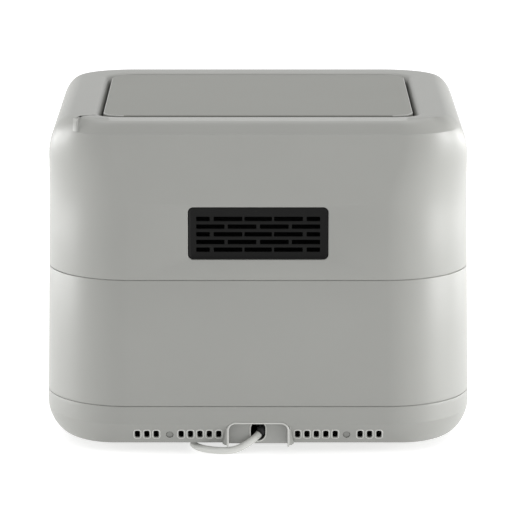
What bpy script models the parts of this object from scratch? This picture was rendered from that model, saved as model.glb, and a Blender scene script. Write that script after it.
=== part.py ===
"""A wide countertop air fryer with one drawer under two fan heaters.

Z is up from the surface that the feet stand on, the drawer's front faces -Y and the back +Y.
X is 0 on the middle plane. Places inside the body are given as a depth in from the rear wall
and a height above the base's lower edge; y_of() and z_of() turn them into Y and Z.
"""

import math

import bmesh
import bpy
from mathutils import Vector

MM = 0.001
GAP = 0.3 * MM  # between pieces that touch

# Driving dimensions
HALF_WIDTH = 205 * MM  # of the body at its lower edge, before its rounding
DRAFT = 5 * MM  # how far each side leans in from the lower edge to the top
DEPTH = 373 * MM  # rear wall to front wall
HEIGHT = 314 * MM  # of the body, without its feet
FOOT = 10 * MM
HANDLE_REACH = 45 * MM
WALL = 2.5 * MM
CORD_RADIUS = 3.5 * MM

# Heights of the lines that part the casing
BASE_TOP = 38.3 * MM
MID_SEAM = 161 * MM
BAND_LOW = 301 * MM

# The body's corners in plan, as (across, along depth) radii of ellipses
CORNER = (82 * MM, 90 * MM)
CORNER_LOW = (47 * MM, 62 * MM)
CORNER_TOP = (51 * MM, 43 * MM)
CORNER_BLEND = 92 * MM  # the height over which the corners tighten towards the top
CORNER_LATE = 0.25  # the share of that which comes only as the sides round over
SIDE_TOP_ROUND = (23.6 * MM, 44.4 * MM)  # (inwards, downwards)
SIDE_LOW_ROUND = (20 * MM, 28.8 * MM)
FRONT_TOP_ROUND = (38 * MM, 58 * MM)
FACET = (11.8 * MM, 20.7 * MM)  # the rear wall's taper at its foot: (inwards, height)
BAND = (11.3 * MM, HEIGHT - BAND_LOW)  # the slant at the top of the rear wall
BAND_END, BAND_STEP = 30, 8  # degrees round the rear corners: where it ends, and over how much
CORNER_STEPS = 6

# The recess in the top, and the panel that floats in it
RECESS_HALF = 153.3 * MM
RECESS_REAR, RECESS_FRONT = 26.5 * MM, 307 * MM
PANEL_HALF = 147.6 * MM
PANEL_REAR, PANEL_FRONT = 35.8 * MM, 299 * MM
RECESS_ROUND, PANEL_ROUND = 24 * MM, 20 * MM
DECK_TOP = 289.7 * MM

# Drawer and the cavity that it slides in
DOOR_DEPTH = 320.3 * MM  # the drawer's front is all of the casing beyond this depth
CAVITY_HALF = 171 * MM
CAVITY_REAR, CAVITY_FRONT = 51.2 * MM, 316 * MM
CAVITY_LOW, CAVITY_TOP = 42.2 * MM, 158 * MM
SHEET = 1.2 * MM  # the thickness of sheet steel
TUB_HALF = 165 * MM
TUB_REAR = 60.3 * MM
TUB_LOW, TUB_TOP = 48 * MM, 149.5 * MM
RIM_LOW = 148 * MM
PLATE_HEIGHT = 62 * MM
SWITCH_X, SWITCH_HEIGHT = 130 * MM, 120 * MM

# The two fan heaters
ZONE_X, ZONE_DEPTH = 85 * MM, 190 * MM
ZONE_HOLE = 66 * MM

# Rear exhaust
VENT_HALF = 66.5 * MM
VENT_LOW, VENT_TOP = 181 * MM, 231.3 * MM
VENT_ROUND = 5 * MM
SLOT_HEIGHT, SLOT_PITCH = 4.2 * MM, 7.4 * MM
SLOT_FIELD = 58.6 * MM

# Controls
GLASS_HALF, GLASS_LOW, GLASS_TOP = 112 * MM, 182 * MM, 246 * MM
DIAL_HEIGHT = 214 * MM

# Base slots and the screw plugs between them
PLUG_X, PLUG_HEIGHT = 84.6 * MM, 9 * MM
BASE_SLOT_PITCH = 9 * MM

# Cord
OUTLET_HALF, OUTLET_LOW, OUTLET_TOP = 30 * MM, -1.2 * MM, 22.8 * MM
OUTLET_BACK = 14 * MM  # how deep the outlet's back panel lies
COIL_RADIUS = 11 * CORD_RADIUS  # at the middle of its turns
COIL_DEPTH = DEPTH + 56 * MM
COIL_LAYERS = 3

REAR_Y = (DEPTH + HANDLE_REACH) / 2

# The cord's way out: where it leaves its gland, its direction there, and its tightest bend
CORD_START = Vector((-0.6 * MM, REAR_Y - 14.5 * MM, 17.8 * MM))
CORD_YAW, CORD_PITCH = math.radians(50), math.radians(-30)
CORD_SIDEWAYS = math.radians(-10)  # how far round it turns before it is down
CORD_BEND = 30 * MM
CORD_LOW = CORD_RADIUS + 0.35 * MM  # its middle, where it lies on the table
CORD_STEP, CORD_SKIP = 0.5 * MM, 8
CORD_LEAD = 26 * MM  # the straight stretch that leads into the coil
CORD_SPANS, CORD_SWAY = 12, 2.5 * MM
GLAND_BEND = 18 * MM

FINISHES = {  # colour, roughness, metallic
    "shell": ((0.35, 0.35, 0.33), 0.5, 0),
    "panel": ((0.33, 0.33, 0.31), 0.35, 0),
    "black": ((0.02, 0.02, 0.02), 0.5, 0),
    "glass": ((0.01, 0.01, 0.01), 0.1, 0),
    "steel": ((0.6, 0.6, 0.6), 0.35, 1),
    "coated": ((0.04, 0.04, 0.04), 0.4, 0),
    "rubber": ((0.03, 0.03, 0.03), 0.9, 0),
    "copper": ((0.7, 0.4, 0.2), 0.4, 1),
    "board": ((0.02, 0.2, 0.06), 0.6, 0),
    "cord": ((0.55, 0.55, 0.53), 0.6, 0),
    "brass": ((0.7, 0.55, 0.25), 0.3, 1),
}


def y_of(depth):
    return REAR_Y - depth


def z_of(height):
    return FOOT + height


# Outlines, as lists of (x, y)


def rounded_outline(half, rear, front, rear_round, front_round, steps=CORNER_STEPS):
    """A rectangle from -half to half and from one depth to another, with elliptical corners."""
    corners = (
        (1, rear, rear_round, 0),
        (-1, rear, rear_round, 90),
        (-1, front, front_round, 180),
        (1, front, front_round, 270),
    )
    outline = []
    for side, depth, (across, along), start in corners:
        inward = along if depth == rear else -along
        for step in range(steps + 1):
            angle = math.radians(start + 90 * step / steps)
            x = side * (half - across) + across * math.cos(angle)
            outline.append((x, y_of(depth + inward) + along * math.sin(angle)))
    return outline


def quarter(share):
    """How far a quarter ellipse of unit radii falls away at this share of its height."""
    return 1 - math.sqrt(max(0.0, 1 - share * share))


def smooth_step(share):
    """An ease from 0 to 1 with no slope at either end."""
    share = min(1.0, max(0.0, share))
    return share * share * (3 - 2 * share)


def body_outline(height, inset=0.0):
    """The body's outline at a height above its lower edge, moved inwards by inset."""
    low = quarter(max(0.0, 1 - height / SIDE_LOW_ROUND[1]))
    top = quarter(max(0.0, 1 - (HEIGHT - height) / SIDE_TOP_ROUND[1]))
    front_top = quarter(max(0.0, 1 - (HEIGHT - height) / FRONT_TOP_ROUND[1]))
    half = HALF_WIDTH - DRAFT * height / HEIGHT - SIDE_LOW_ROUND[0] * low - SIDE_TOP_ROUND[0] * top
    rear = FACET[0] * max(0.0, 1 - height / FACET[1])
    front = DEPTH - FRONT_TOP_ROUND[0] * front_top
    top = CORNER_LATE * top + (1 - CORNER_LATE) * smooth_step(1 - (HEIGHT - height) / CORNER_BLEND)
    across, along = (
        plain + low * (lower - plain) + top * (upper - plain) - inset
        for plain, lower, upper in zip(CORNER, CORNER_LOW, CORNER_TOP)
    )
    outline = rounded_outline(half - inset, rear + inset, front - inset, (across, along), (across, along))
    band = BAND[0] * max(0.0, (height - BAND_LOW) / BAND[1])
    for step in range(CORNER_STEPS + 1):
        share = band_share(90 * step / CORNER_STEPS)
        for index in (step, 2 * CORNER_STEPS + 1 - step):
            x, y = outline[index]
            outline[index] = (x, y - band * share)
    return outline


def band_share(angle):
    """How much of the band's slant a rear corner has, at an angle from the side towards the rear."""
    return min(1.0, max(0.0, (angle - BAND_END) / BAND_STEP))


def panel_outline(half, rear, front, radius, steps=CORNER_STEPS):
    return rounded_outline(half, rear, front, (radius, radius), (radius, radius), steps)


def upright_outline(half, low, top, radius, steps=3, x=0.0):
    """A rounded rectangle in (x, z), from one height to another."""
    outline = []
    for index, (side, end) in enumerate(((1, top), (-1, top), (-1, low), (1, low))):
        inward = -radius if end == top else radius
        for step in range(steps + 1):
            angle = math.radians(90 * (index + step / steps))
            px = x + side * (half - radius) + radius * math.cos(angle)
            outline.append((px, z_of(end + inward) + radius * math.sin(angle)))
    return outline


def arch_outline(half, low, top, radius, steps=4):
    """An upright outline in (x, z) with square feet and round shoulders."""
    outline = [(-half, z_of(low)), (half, z_of(low))]
    for side, start in ((1, 0), (-1, 90)):
        for step in range(steps + 1):
            angle = math.radians(start + 90 * step / steps)
            px = side * (half - radius) + radius * math.cos(angle)
            outline.append((px, z_of(top - radius) + radius * math.sin(angle)))
    return outline


# Solids, each added to a mesh that becomes one node


def flat_ring(outline, height):
    """The outline's points at a height above the body's lower edge."""
    return [Vector((x, y, z_of(height))) for x, y in outline]


def upright_ring(outline, depth):
    return [Vector((x, y_of(depth), z)) for x, z in outline]


def add_loft(mesh, rings, closed=False):
    """Skins rings of equal point counts. Closed joins the last to the first; else the ends are capped."""
    rows = [[mesh.verts.new(point) for point in ring] for ring in rings]
    pairs = list(zip(rows, rows[1:]))
    if closed:
        pairs.append((rows[-1], rows[0]))
    for low, high in pairs:
        for i in range(len(low)):
            j = (i + 1) % len(low)
            mesh.faces.new((low[i], low[j], high[j], high[i]))
    if not closed:
        mesh.faces.new(rows[0])
        mesh.faces.new(rows[-1])


def add_box(mesh, x, depth, height):
    """A box between two X, two depths and two heights."""
    corners = [(x[0], depth[0]), (x[1], depth[0]), (x[1], depth[1]), (x[0], depth[1])]
    outline = [(px, y_of(d)) for px, d in corners]
    add_loft(mesh, [flat_ring(outline, height[0]), flat_ring(outline, height[1])])


def circle(radius, steps, start=0.0):
    turn = 2 * math.pi / steps
    return [(radius * math.cos(start + i * turn), radius * math.sin(start + i * turn)) for i in range(steps)]


def add_turned(mesh, profile, x, depth, steps=20, axis="Z", height=0.0):
    """Turns a closed profile of (radius, along) about an axis. Along is a height, or a depth about Y."""
    rings = []
    for radius, along in profile:
        points = circle(radius, steps)
        if axis == "Z":
            rings.append([Vector((x + a, y_of(depth) + b, z_of(along))) for a, b in points])
        else:
            rings.append([Vector((x + a, y_of(along), z_of(height) + b)) for a, b in points])
    add_loft(mesh, rings, closed=True)


def add_cylinder(mesh, radius, x, depth, height, steps=12, axis="Z"):
    """A solid cylinder; the pair of numbers gives its ends, on the axis that it lies along."""
    if axis == "Z":
        outline = [(x + a, y_of(depth) + b) for a, b in circle(radius, steps)]
        add_loft(mesh, [flat_ring(outline, height[0]), flat_ring(outline, height[1])])
    else:
        outline = [(x + a, z_of(height) + b) for a, b in circle(radius, steps)]
        add_loft(mesh, [upright_ring(outline, depth[0]), upright_ring(outline, depth[1])])


def add_tapered(mesh, stations, steps=12):
    """Circles of given radii round a line of points, skinned into one solid."""
    rings = []
    for i, (centre, radius) in enumerate(stations):
        before, after = stations[max(i - 1, 0)][0], stations[min(i + 1, len(stations) - 1)][0]
        along = (after - before).normalized()
        side = along.cross(Vector((0, 0, 1))).normalized()
        up = side.cross(along)
        rings.append([centre + side * a + up * b for a, b in circle(radius, steps)])
    add_loft(mesh, rings)


# Nodes


def clear_scene():
    for old in list(bpy.data.objects):
        bpy.data.objects.remove(old)


def dress(obj, finish):
    colour, roughness, metallic = FINISHES[finish]
    material = bpy.data.materials.new(obj.name)
    material.use_nodes = True
    shader = material.node_tree.nodes["Principled BSDF"]
    shader.inputs["Base Color"].default_value = (*colour, 1)
    shader.inputs["Roughness"].default_value = roughness
    shader.inputs["Metallic"].default_value = metallic
    obj.data.materials.append(material)


def node(name, mesh, finish, pivot=(0, 0, 0)):
    """Turns a mesh into a named object whose origin is at pivot."""
    bmesh.ops.recalc_face_normals(mesh, faces=mesh.faces)
    bmesh.ops.translate(mesh, verts=mesh.verts, vec=-Vector(pivot))
    data = bpy.data.meshes.new(name)
    mesh.to_mesh(data)
    mesh.free()
    obj = bpy.data.objects.new(name, data)
    obj.location = pivot
    bpy.context.scene.collection.objects.link(obj)
    data.shade_smooth()
    data.set_sharp_from_angle(angle=math.radians(35))
    dress(obj, finish)
    return obj


def carve(obj, mesh, operation="DIFFERENCE"):
    """Cuts a mesh out of an object, or joins it on with UNION."""
    cutter = node(f"{obj.name}_tool_{len(obj.modifiers)}", mesh, "shell")
    cutter.hide_render = True
    cutter.display_type = "WIRE"
    cut = obj.modifiers.new(operation.lower(), "BOOLEAN")
    cut.operation = operation
    cut.solver = "EXACT"
    cut.object = cutter


def shell(low, high, levels, thickness=WALL):
    """A ring of casing between two heights, with extra levels where the wall curves."""
    heights = [low, *[h for h in levels if low < h < high], high]
    mesh = bmesh.new()
    outside = [flat_ring(body_outline(h), h) for h in heights]
    inside = [flat_ring(body_outline(h, thickness), h) for h in reversed(heights)]
    add_loft(mesh, outside + inside, closed=True)
    return mesh


def make_base_cover():
    levels = [3 * MM, 8 * MM, 14 * MM, FACET[1], SIDE_LOW_ROUND[1]]
    heights = [0, *levels, BASE_TOP - GAP / 2]
    inner = [h for h in reversed(heights) if h > WALL] + [WALL]
    mesh = bmesh.new()
    rings = [flat_ring(body_outline(h), h) for h in heights]
    rings += [flat_ring(body_outline(h, WALL), h) for h in inner]
    add_loft(mesh, rings)
    base = node("base_cover", mesh, "shell")
    cuts = bmesh.new()
    through = (-2 * MM, OUTLET_BACK)
    for x in base_slot_places():
        add_box(cuts, (x - 2.35 * MM, x + 2.35 * MM), through, (6 * MM, 13.3 * MM))
    for side in (-1, 1):
        add_cylinder(cuts, 3.5 * MM, side * PLUG_X, through, PLUG_HEIGHT, axis="Y")
    opening = arch_outline(OUTLET_HALF + GAP, -5 * MM, OUTLET_TOP + GAP, 8.8 * MM)
    add_loft(cuts, [upright_ring(opening, -5 * MM), upright_ring(opening, OUTLET_BACK + 2.8 * MM)])
    carve(base, cuts)


def base_slot_places():
    """Five slots inside each plug and three outside it, on both sides."""
    inner = [37.7 * MM + i * BASE_SLOT_PITCH for i in range(5)]
    outer = [97.5 * MM + i * BASE_SLOT_PITCH for i in range(3)]
    return [side * x for x in inner + outer for side in (-1, 1)]


def make_cord_outlet():
    """The arched frame that the cord leaves through, and the gland in it."""
    mesh = bmesh.new()
    block = arch_outline(OUTLET_HALF, OUTLET_LOW, OUTLET_TOP, 8.5 * MM)
    add_loft(mesh, [upright_ring(block, 0), upright_ring(block, OUTLET_BACK + 2.5 * MM)])
    frame = node("cord_outlet_frame", mesh, "shell")
    pocket = bmesh.new()
    inside = arch_outline(OUTLET_HALF - 2 * MM, -4 * MM, OUTLET_TOP - 2 * MM, 6.5 * MM)
    add_loft(pocket, [upright_ring(inside, -2 * MM), upright_ring(inside, OUTLET_BACK)])
    carve(frame, pocket)
    hole = bmesh.new()
    slot = upright_outline(7 * MM, 1.8 * MM, OUTLET_TOP - 2.5 * MM, 6.9 * MM, steps=5)
    add_loft(hole, [upright_ring(slot, OUTLET_BACK - 4 * MM), upright_ring(slot, OUTLET_BACK + 5 * MM)])
    carve(frame, hole)

    gland = bmesh.new()
    stations = ((32, 5.0), (26, 5.2), (21, 5.4), (20, 7.5), (16, 7.5), (15, 5.0), (11, 4.2), (3, 4))
    add_tapered(gland, [(gland_point(back * MM), radius * MM) for back, radius in stations])
    node("cord_gland", gland, "rubber")


def make_casing():
    lower = shell(BASE_TOP + GAP / 2, MID_SEAM - GAP / 2, [])
    lower = node("lower_housing", lower, "shell")
    front = bmesh.new()
    edge = DOOR_DEPTH - GAP
    add_box(front, (-0.3, 0.3), (edge, DEPTH + 30 * MM), (0, 0.2))
    carve(lower, front)

    curve = [256 * MM, 270 * MM, 279 * MM, 287 * MM, 294 * MM]
    upper = node("upper_housing", shell(MID_SEAM + GAP / 2, BAND_LOW - GAP / 2, curve), "shell")
    openings = bmesh.new()
    vent = upright_outline(VENT_HALF, VENT_LOW, VENT_TOP, VENT_ROUND)
    add_loft(openings, [upright_ring(vent, -5 * MM), upright_ring(vent, 5 * MM)])
    glass = upright_outline(GLASS_HALF + GAP, GLASS_LOW - GAP, GLASS_TOP + GAP, 6 * MM)
    add_loft(openings, [upright_ring(glass, DEPTH - 8 * MM), upright_ring(glass, DEPTH + 5 * MM)])
    carve(upper, openings)

    top = bmesh.new()
    heights = [BAND_LOW + GAP / 2, 305 * MM, 309 * MM, 312 * MM, HEIGHT - 0.6 * MM, HEIGHT]
    recess = panel_outline(RECESS_HALF, RECESS_REAR, RECESS_FRONT, RECESS_ROUND)
    skin = panel_outline(
        RECESS_HALF + WALL, RECESS_REAR - WALL, RECESS_FRONT + WALL, RECESS_ROUND + WALL
    )
    rings = [flat_ring(body_outline(h), h) for h in heights]
    rings += [flat_ring(recess, HEIGHT), flat_ring(recess, DECK_TOP + GAP)]
    rings += [flat_ring(skin, DECK_TOP + GAP), flat_ring(skin, HEIGHT - 4 * MM)]
    rings += [flat_ring(body_outline(309 * MM, WALL), 306 * MM)]
    rings += [flat_ring(body_outline(heights[0], WALL), heights[0])]
    add_loft(top, rings, closed=True)
    node("top_frame", top, "shell")


def make_top_panel():
    deck = bmesh.new()
    outline = panel_outline(RECESS_HALF + WALL, RECESS_REAR - WALL, RECESS_FRONT + WALL, RECESS_ROUND, 3)
    add_loft(deck, [flat_ring(outline, DECK_TOP - 2.4 * MM), flat_ring(outline, DECK_TOP)])
    deck = node("intake_deck", deck, "black")
    slots = bmesh.new()
    for row in range(9):
        depth = PANEL_REAR + (20 + 28 * row) * MM
        for side in (-1, 1):
            ends = sorted((side * 120 * MM, side * 152 * MM))
            add_box(slots, ends, (depth, depth + 8 * MM), (DECK_TOP - 6 * MM, DECK_TOP + 6 * MM))
    carve(deck, slots)

    posts = bmesh.new()
    for side in (-1, 1):
        for depth in (55 * MM, 276 * MM):
            add_cylinder(posts, 5 * MM, side * 105 * MM, depth, (DECK_TOP - MM, 310.7 * MM))
    carve(deck, posts, "UNION")

    panel = bmesh.new()
    top = HEIGHT - GAP
    sections = (
        (top, 1.5 * MM),
        (top - 1.5 * MM, 0),
        (304 * MM, 0),
        (304 * MM, WALL),
        (311 * MM, WALL),
    )
    rings = []
    for height, inset in sections:
        outline = panel_outline(
            PANEL_HALF - inset, PANEL_REAR + inset, PANEL_FRONT - inset, PANEL_ROUND - inset, 4
        )
        rings.append(flat_ring(outline, height))
    add_loft(panel, rings)
    node("top_panel", panel, "panel")


def vent_slots():
    """The exhaust's slots as (middle, half width) in each row, laid like bricks."""
    wide, narrow = 14.2 * MM, 6.4 * MM
    outer = SLOT_FIELD - narrow
    inner = SLOT_FIELD - 2 * narrow - wide - 3 * MM
    odd = [(0, 13 * MM)]
    even = []
    for side in (-1, 1):
        odd += [(side * inner, wide - 0.6 * MM), (side * outer, narrow)]
        even += [(side * 15.3 * MM, 13.6 * MM), (side * (SLOT_FIELD - 13.4 * MM), 13.4 * MM)]
    return [odd, even, odd, even, odd]


def make_exhaust():
    mesh = bmesh.new()
    insert = (VENT_HALF - GAP, VENT_LOW + GAP, VENT_TOP - GAP, VENT_ROUND)
    flange = (VENT_HALF + 4 * MM, VENT_LOW - 4 * MM, VENT_TOP + 4 * MM, VENT_ROUND + 2 * MM)
    rings = [upright_ring(upright_outline(*insert), d) for d in (1 * MM, WALL + GAP)]
    rings += [upright_ring(upright_outline(*flange), d) for d in (WALL + GAP, WALL + 1.8 * MM)]
    add_loft(mesh, rings)
    grille = node("exhaust_grille", mesh, "black")
    cuts = bmesh.new()
    middle = (VENT_LOW + VENT_TOP) / 2 - 1 * MM
    for row, slots in enumerate(vent_slots()):
        height = middle + (2 - row) * SLOT_PITCH
        ends = (height - SLOT_HEIGHT / 2, height + SLOT_HEIGHT / 2)
        for x, half in slots:
            add_box(cuts, (x - half, x + half), (-5 * MM, 8 * MM), ends)
    carve(grille, cuts)

    duct = bmesh.new()
    elbow = ((4.7, 177), (4.7, 235), (98, 235), (98, 160), (56, 160), (56, 177))
    hollow = ((0, 178.5), (0, 233.5), (96.5, 233.5), (96.5, 150), (57.5, 150), (57.5, 178.5))
    half = VENT_HALF + 4 * MM
    for corners, reach, into in ((elbow, half, duct), (hollow, half - 1.5 * MM, None)):
        into = bmesh.new() if into is None else into
        ends = (-reach, reach)
        rings = [[Vector((x, y_of(d * MM), z_of(h * MM))) for d, h in corners] for x in ends]
        add_loft(into, rings)
        if into is duct:
            obj = node("exhaust_duct", duct, "steel")
        else:
            carve(obj, into)


def make_cavity():
    outer = CAVITY_HALF + SHEET
    liner = bmesh.new()
    add_box(liner, (-outer, outer), (CAVITY_REAR - SHEET, CAVITY_FRONT), (CAVITY_LOW - SHEET, CAVITY_TOP))
    liner = node("cavity_liner", liner, "steel")
    hollow = bmesh.new()
    add_box(hollow, (-CAVITY_HALF, CAVITY_HALF), (CAVITY_REAR, 0.4), (CAVITY_LOW, 0.2))
    carve(liner, hollow)
    hole = bmesh.new()
    add_cylinder(hole, 3.2 * MM, SWITCH_X, (40 * MM, 56 * MM), SWITCH_HEIGHT, axis="Y")
    carve(liner, hole)

    ceiling = bmesh.new()
    low = CAVITY_TOP + GAP
    add_box(ceiling, (-outer, outer), (CAVITY_REAR - SHEET, CAVITY_FRONT), (low, low + SHEET))
    ceiling = node("cavity_ceiling", ceiling, "steel")
    holes = bmesh.new()
    around = (low - 5 * MM, low + 5 * MM)
    for side in (-1, 1):
        add_cylinder(holes, ZONE_HOLE, side * ZONE_X, ZONE_DEPTH, around, steps=20)
    add_box(holes, (-60 * MM, 60 * MM), (60 * MM, 94 * MM), around)
    add_cylinder(holes, 2.4 * MM, 0, ZONE_DEPTH, around)
    carve(ceiling, holes)

    bezel = bmesh.new()
    depths = (CAVITY_FRONT + GAP, DOOR_DEPTH - 2 * GAP)
    add_box(bezel, (-188 * MM, 188 * MM), depths, (39.5 * MM, 160 * MM))
    bezel = node("cavity_bezel", bezel, "steel")
    mouth = bmesh.new()
    add_box(mouth, (-CAVITY_HALF, CAVITY_HALF), (0.3, 0.34), (CAVITY_LOW, CAVITY_TOP))
    carve(bezel, mouth)

    for name, side in (("left", 1), ("right", -1)):
        runner = bmesh.new()
        ends = sorted((side * (TUB_HALF + 0.8 * MM), side * (CAVITY_HALF - GAP)))
        add_box(runner, ends, (56 * MM, 314 * MM), (138 * MM, RIM_LOW - GAP))
        node(f"drawer_runner_{name}", runner, "steel")


def make_interlock():
    switch = bmesh.new()
    x, h = SWITCH_X, SWITCH_HEIGHT
    add_box(switch, (x - 10 * MM, x + 10 * MM), (34 * MM, 44 * MM), (h - 6 * MM, h + 6 * MM))
    node("interlock_switch", switch, "black")
    plunger = bmesh.new()
    add_cylinder(plunger, 2.5 * MM, x, (46 * MM, TUB_REAR - GAP), h, axis="Y")
    pivot = (x, y_of(46 * MM), z_of(h))
    node("interlock_plunger", plunger, "cord", pivot)


def star(hub, tip, blades, thickness):
    """The outline of a fan with straight flat blades, as offsets from its middle."""
    outline = []
    for blade in range(blades):
        angle = 2 * math.pi * blade / blades
        along = Vector((math.cos(angle), math.sin(angle)))
        across = Vector((-along.y, along.x)) * thickness / 2
        for reach, side in ((hub, -1), (tip, -1), (tip, 1), (hub, 1)):
            outline.append(along * reach + across * side)
    return outline


def add_fan(mesh, x, hub, tip, blades, heights):
    rim = star(hub, tip, blades, 2 * MM)
    bore = [point.normalized() * 2.8 * MM for point in rim]
    place = Vector((x, y_of(ZONE_DEPTH)))
    outer, inner = ([tuple(place + p) for p in ring] for ring in (rim, bore))
    low, high = heights
    rings = [flat_ring(outer, low), flat_ring(outer, high), flat_ring(inner, high), flat_ring(inner, low)]
    add_loft(mesh, rings, closed=True)


def element_point(turn, x):
    """A point on the heating tube: down one leg, round nearly twice, and up an outer leg."""
    centre = Vector((x, y_of(ZONE_DEPTH), 0))
    leg, sweep = 0.12, math.radians(670)
    share = min(1.0, max(0.0, (turn - leg) / (1 - 2 * leg)))
    radius = 54 * MM + 7 * MM * max(0.0, (share - 0.9) / 0.1)
    height = (177 - 11 * share) * MM
    if turn < leg:
        height += 36 * MM * (leg - turn) / leg
    if turn > 1 - leg:
        height += 47 * MM * (turn - 1 + leg) / leg
    angle = math.radians(10) + sweep * share
    return centre + Vector((radius * math.cos(angle), radius * math.sin(angle), z_of(height)))


def tube(name, points, radius, finish, resolution=2):
    curve = bpy.data.curves.new(name, "CURVE")
    curve.dimensions = "3D"
    curve.bevel_depth = radius
    curve.bevel_resolution = resolution
    curve.use_fill_caps = True
    line = curve.splines.new("POLY")
    line.points.add(len(points) - 1)
    for place, point in zip(line.points, points):
        place.co = (*point, 1)
    obj = bpy.data.objects.new(name, curve)
    bpy.context.scene.collection.objects.link(obj)
    dress(obj, finish)
    return obj


def make_zone(name, side):
    """One fan heater: guard, heating tube, dome, fans on a shaft, motor and its bracket."""
    x = side * ZONE_X
    guard = bmesh.new()
    add_cylinder(guard, 70 * MM, x, ZONE_DEPTH, (156.3 * MM, 157.7 * MM), steps=24)
    guard = node(f"heater_guard_{name}", guard, "steel")
    slots = bmesh.new()
    for bar in range(-4, 5):
        reach = math.sqrt((62 * MM) ** 2 - (bar * 13 * MM) ** 2)
        ends = (ZONE_DEPTH + (bar * 13 - 4) * MM, ZONE_DEPTH + (bar * 13 + 4) * MM)
        add_box(slots, (x - reach, x + reach), ends, (150 * MM, 170 * MM))
    carve(guard, slots)

    points = [element_point(step / 44, x) for step in range(45)]
    tube(f"heating_element_{name}", points, 3.2 * MM, "steel", 1)

    flange, wall, roof = 159.8 * MM, 74 * MM, 208 * MM
    profile = (
        (78 * MM, flange),
        (78 * MM, flange + SHEET),
        (wall, flange + SHEET),
        (wall, roof - 6 * MM),
        (wall - 6 * MM, roof),
        (6 * MM, roof),
        (6 * MM, roof - SHEET),
        (wall - 6.6 * MM, roof - SHEET),
        (wall - SHEET, roof - 6.6 * MM),
        (wall - SHEET, flange),
    )
    dome = bmesh.new()
    add_turned(dome, profile, x, ZONE_DEPTH, steps=24)
    dome = node(f"heater_dome_{name}", dome, "steel")
    legs = bmesh.new()
    for turn in (0, 1):
        place = element_point(turn, x)
        add_cylinder(legs, 4 * MM, place.x, REAR_Y - place.y, (200 * MM, 220 * MM), steps=10)
    carve(dome, legs)

    pivot = (x, y_of(ZONE_DEPTH), z_of(184 * MM))
    shaft = bmesh.new()
    add_cylinder(shaft, 2.5 * MM, x, ZONE_DEPTH, (173 * MM, 262 * MM), steps=10)
    node(f"motor_shaft_{name}", shaft, "steel", pivot)
    hot = bmesh.new()
    add_fan(hot, x, 9 * MM, 46 * MM, 8, (182 * MM, 196 * MM))
    node(f"hot_fan_{name}", hot, "steel", pivot)
    cooling = bmesh.new()
    add_fan(cooling, x, 9 * MM, 40 * MM, 6, (212 * MM, 221 * MM))
    node(f"cooling_fan_{name}", cooling, "black", pivot)

    bracket = bmesh.new()
    outside = ((103, 160), (103, 228), (277, 228), (277, 160), (275, 160), (275, 226), (105, 226), (105, 160))
    ends = (x - 14 * MM, x + 14 * MM)
    add_loft(bracket, [[Vector((e, y_of(d * MM), z_of(h * MM))) for d, h in outside] for e in ends])
    bracket = node(f"motor_bracket_{name}", bracket, "steel")
    bearing = bmesh.new()
    add_cylinder(bearing, 6 * MM, x, ZONE_DEPTH, (220 * MM, 235 * MM))
    carve(bracket, bearing)
    motor = bmesh.new()
    low, high = 228.3 * MM, 256 * MM
    profile = ((25 * MM, low), (25 * MM, high), (3 * MM, high), (3 * MM, low))
    add_turned(motor, profile, x, ZONE_DEPTH)
    node(f"fan_motor_{name}", motor, "copper")


def make_electrics():
    probe = bmesh.new()
    add_cylinder(probe, 2 * MM, 0, ZONE_DEPTH, (153 * MM, 172 * MM), steps=8)
    node("temperature_probe", probe, "steel")
    board = bmesh.new()
    add_box(board, (-183.6 * MM, -182 * MM), (120 * MM, 250 * MM), (172 * MM, 245 * MM))
    node("power_board", board, "board")
    transformer = bmesh.new()
    face = -181.7 * MM
    add_box(transformer, (face, face + 26 * MM), (135 * MM, 170 * MM), (212 * MM, 242 * MM))
    node("transformer", transformer, "copper")


def make_controls():
    glass = bmesh.new()
    outline = upright_outline(GLASS_HALF, GLASS_LOW, GLASS_TOP, 6 * MM)
    face, back = DEPTH, DEPTH - 3 * MM
    add_loft(glass, [upright_ring(outline, face), upright_ring(outline, back)])
    glass = node("control_glass", glass, "glass")
    stem = bmesh.new()
    add_cylinder(stem, 6 * MM, 0, (back - 5 * MM, face + 5 * MM), DIAL_HEIGHT, axis="Y")
    carve(glass, stem)
    board = bmesh.new()
    add_box(board, (-100 * MM, 100 * MM), (362 * MM, 363.6 * MM), (190 * MM, 238 * MM))
    node("control_board", board, "board")

    def along(offset):
        return face + offset * MM

    hub = bmesh.new()
    profile = (
        (5.6 * MM, along(-4)),
        (5.6 * MM, along(0.4)),
        (15 * MM, along(0.4)),
        (15 * MM, along(12)),
        (12.6 * MM, along(12)),
        (12.6 * MM, along(3)),
        (1 * MM, along(3)),
        (1 * MM, along(-4)),
    )
    add_turned(hub, profile, 0, 0, 24, "Y", DIAL_HEIGHT)
    node("dial_hub", hub, "black")
    pivot = (0, y_of(face), z_of(DIAL_HEIGHT))
    dial = bmesh.new()
    profile = (
        (27 * MM, along(0.6)),
        (27 * MM, along(13)),
        (25.5 * MM, along(15)),
        (17 * MM, along(15)),
        (15.4 * MM, along(13.5)),
        (15.4 * MM, along(0.6)),
    )
    add_turned(dial, profile, 0, 0, 32, "Y", DIAL_HEIGHT)
    node("dial", dial, "steel", pivot)
    button = bmesh.new()
    add_cylinder(button, 12.2 * MM, 0, (along(5.2), along(13)), DIAL_HEIGHT, steps=24, axis="Y")
    node("start_button", button, "black", pivot)


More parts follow.
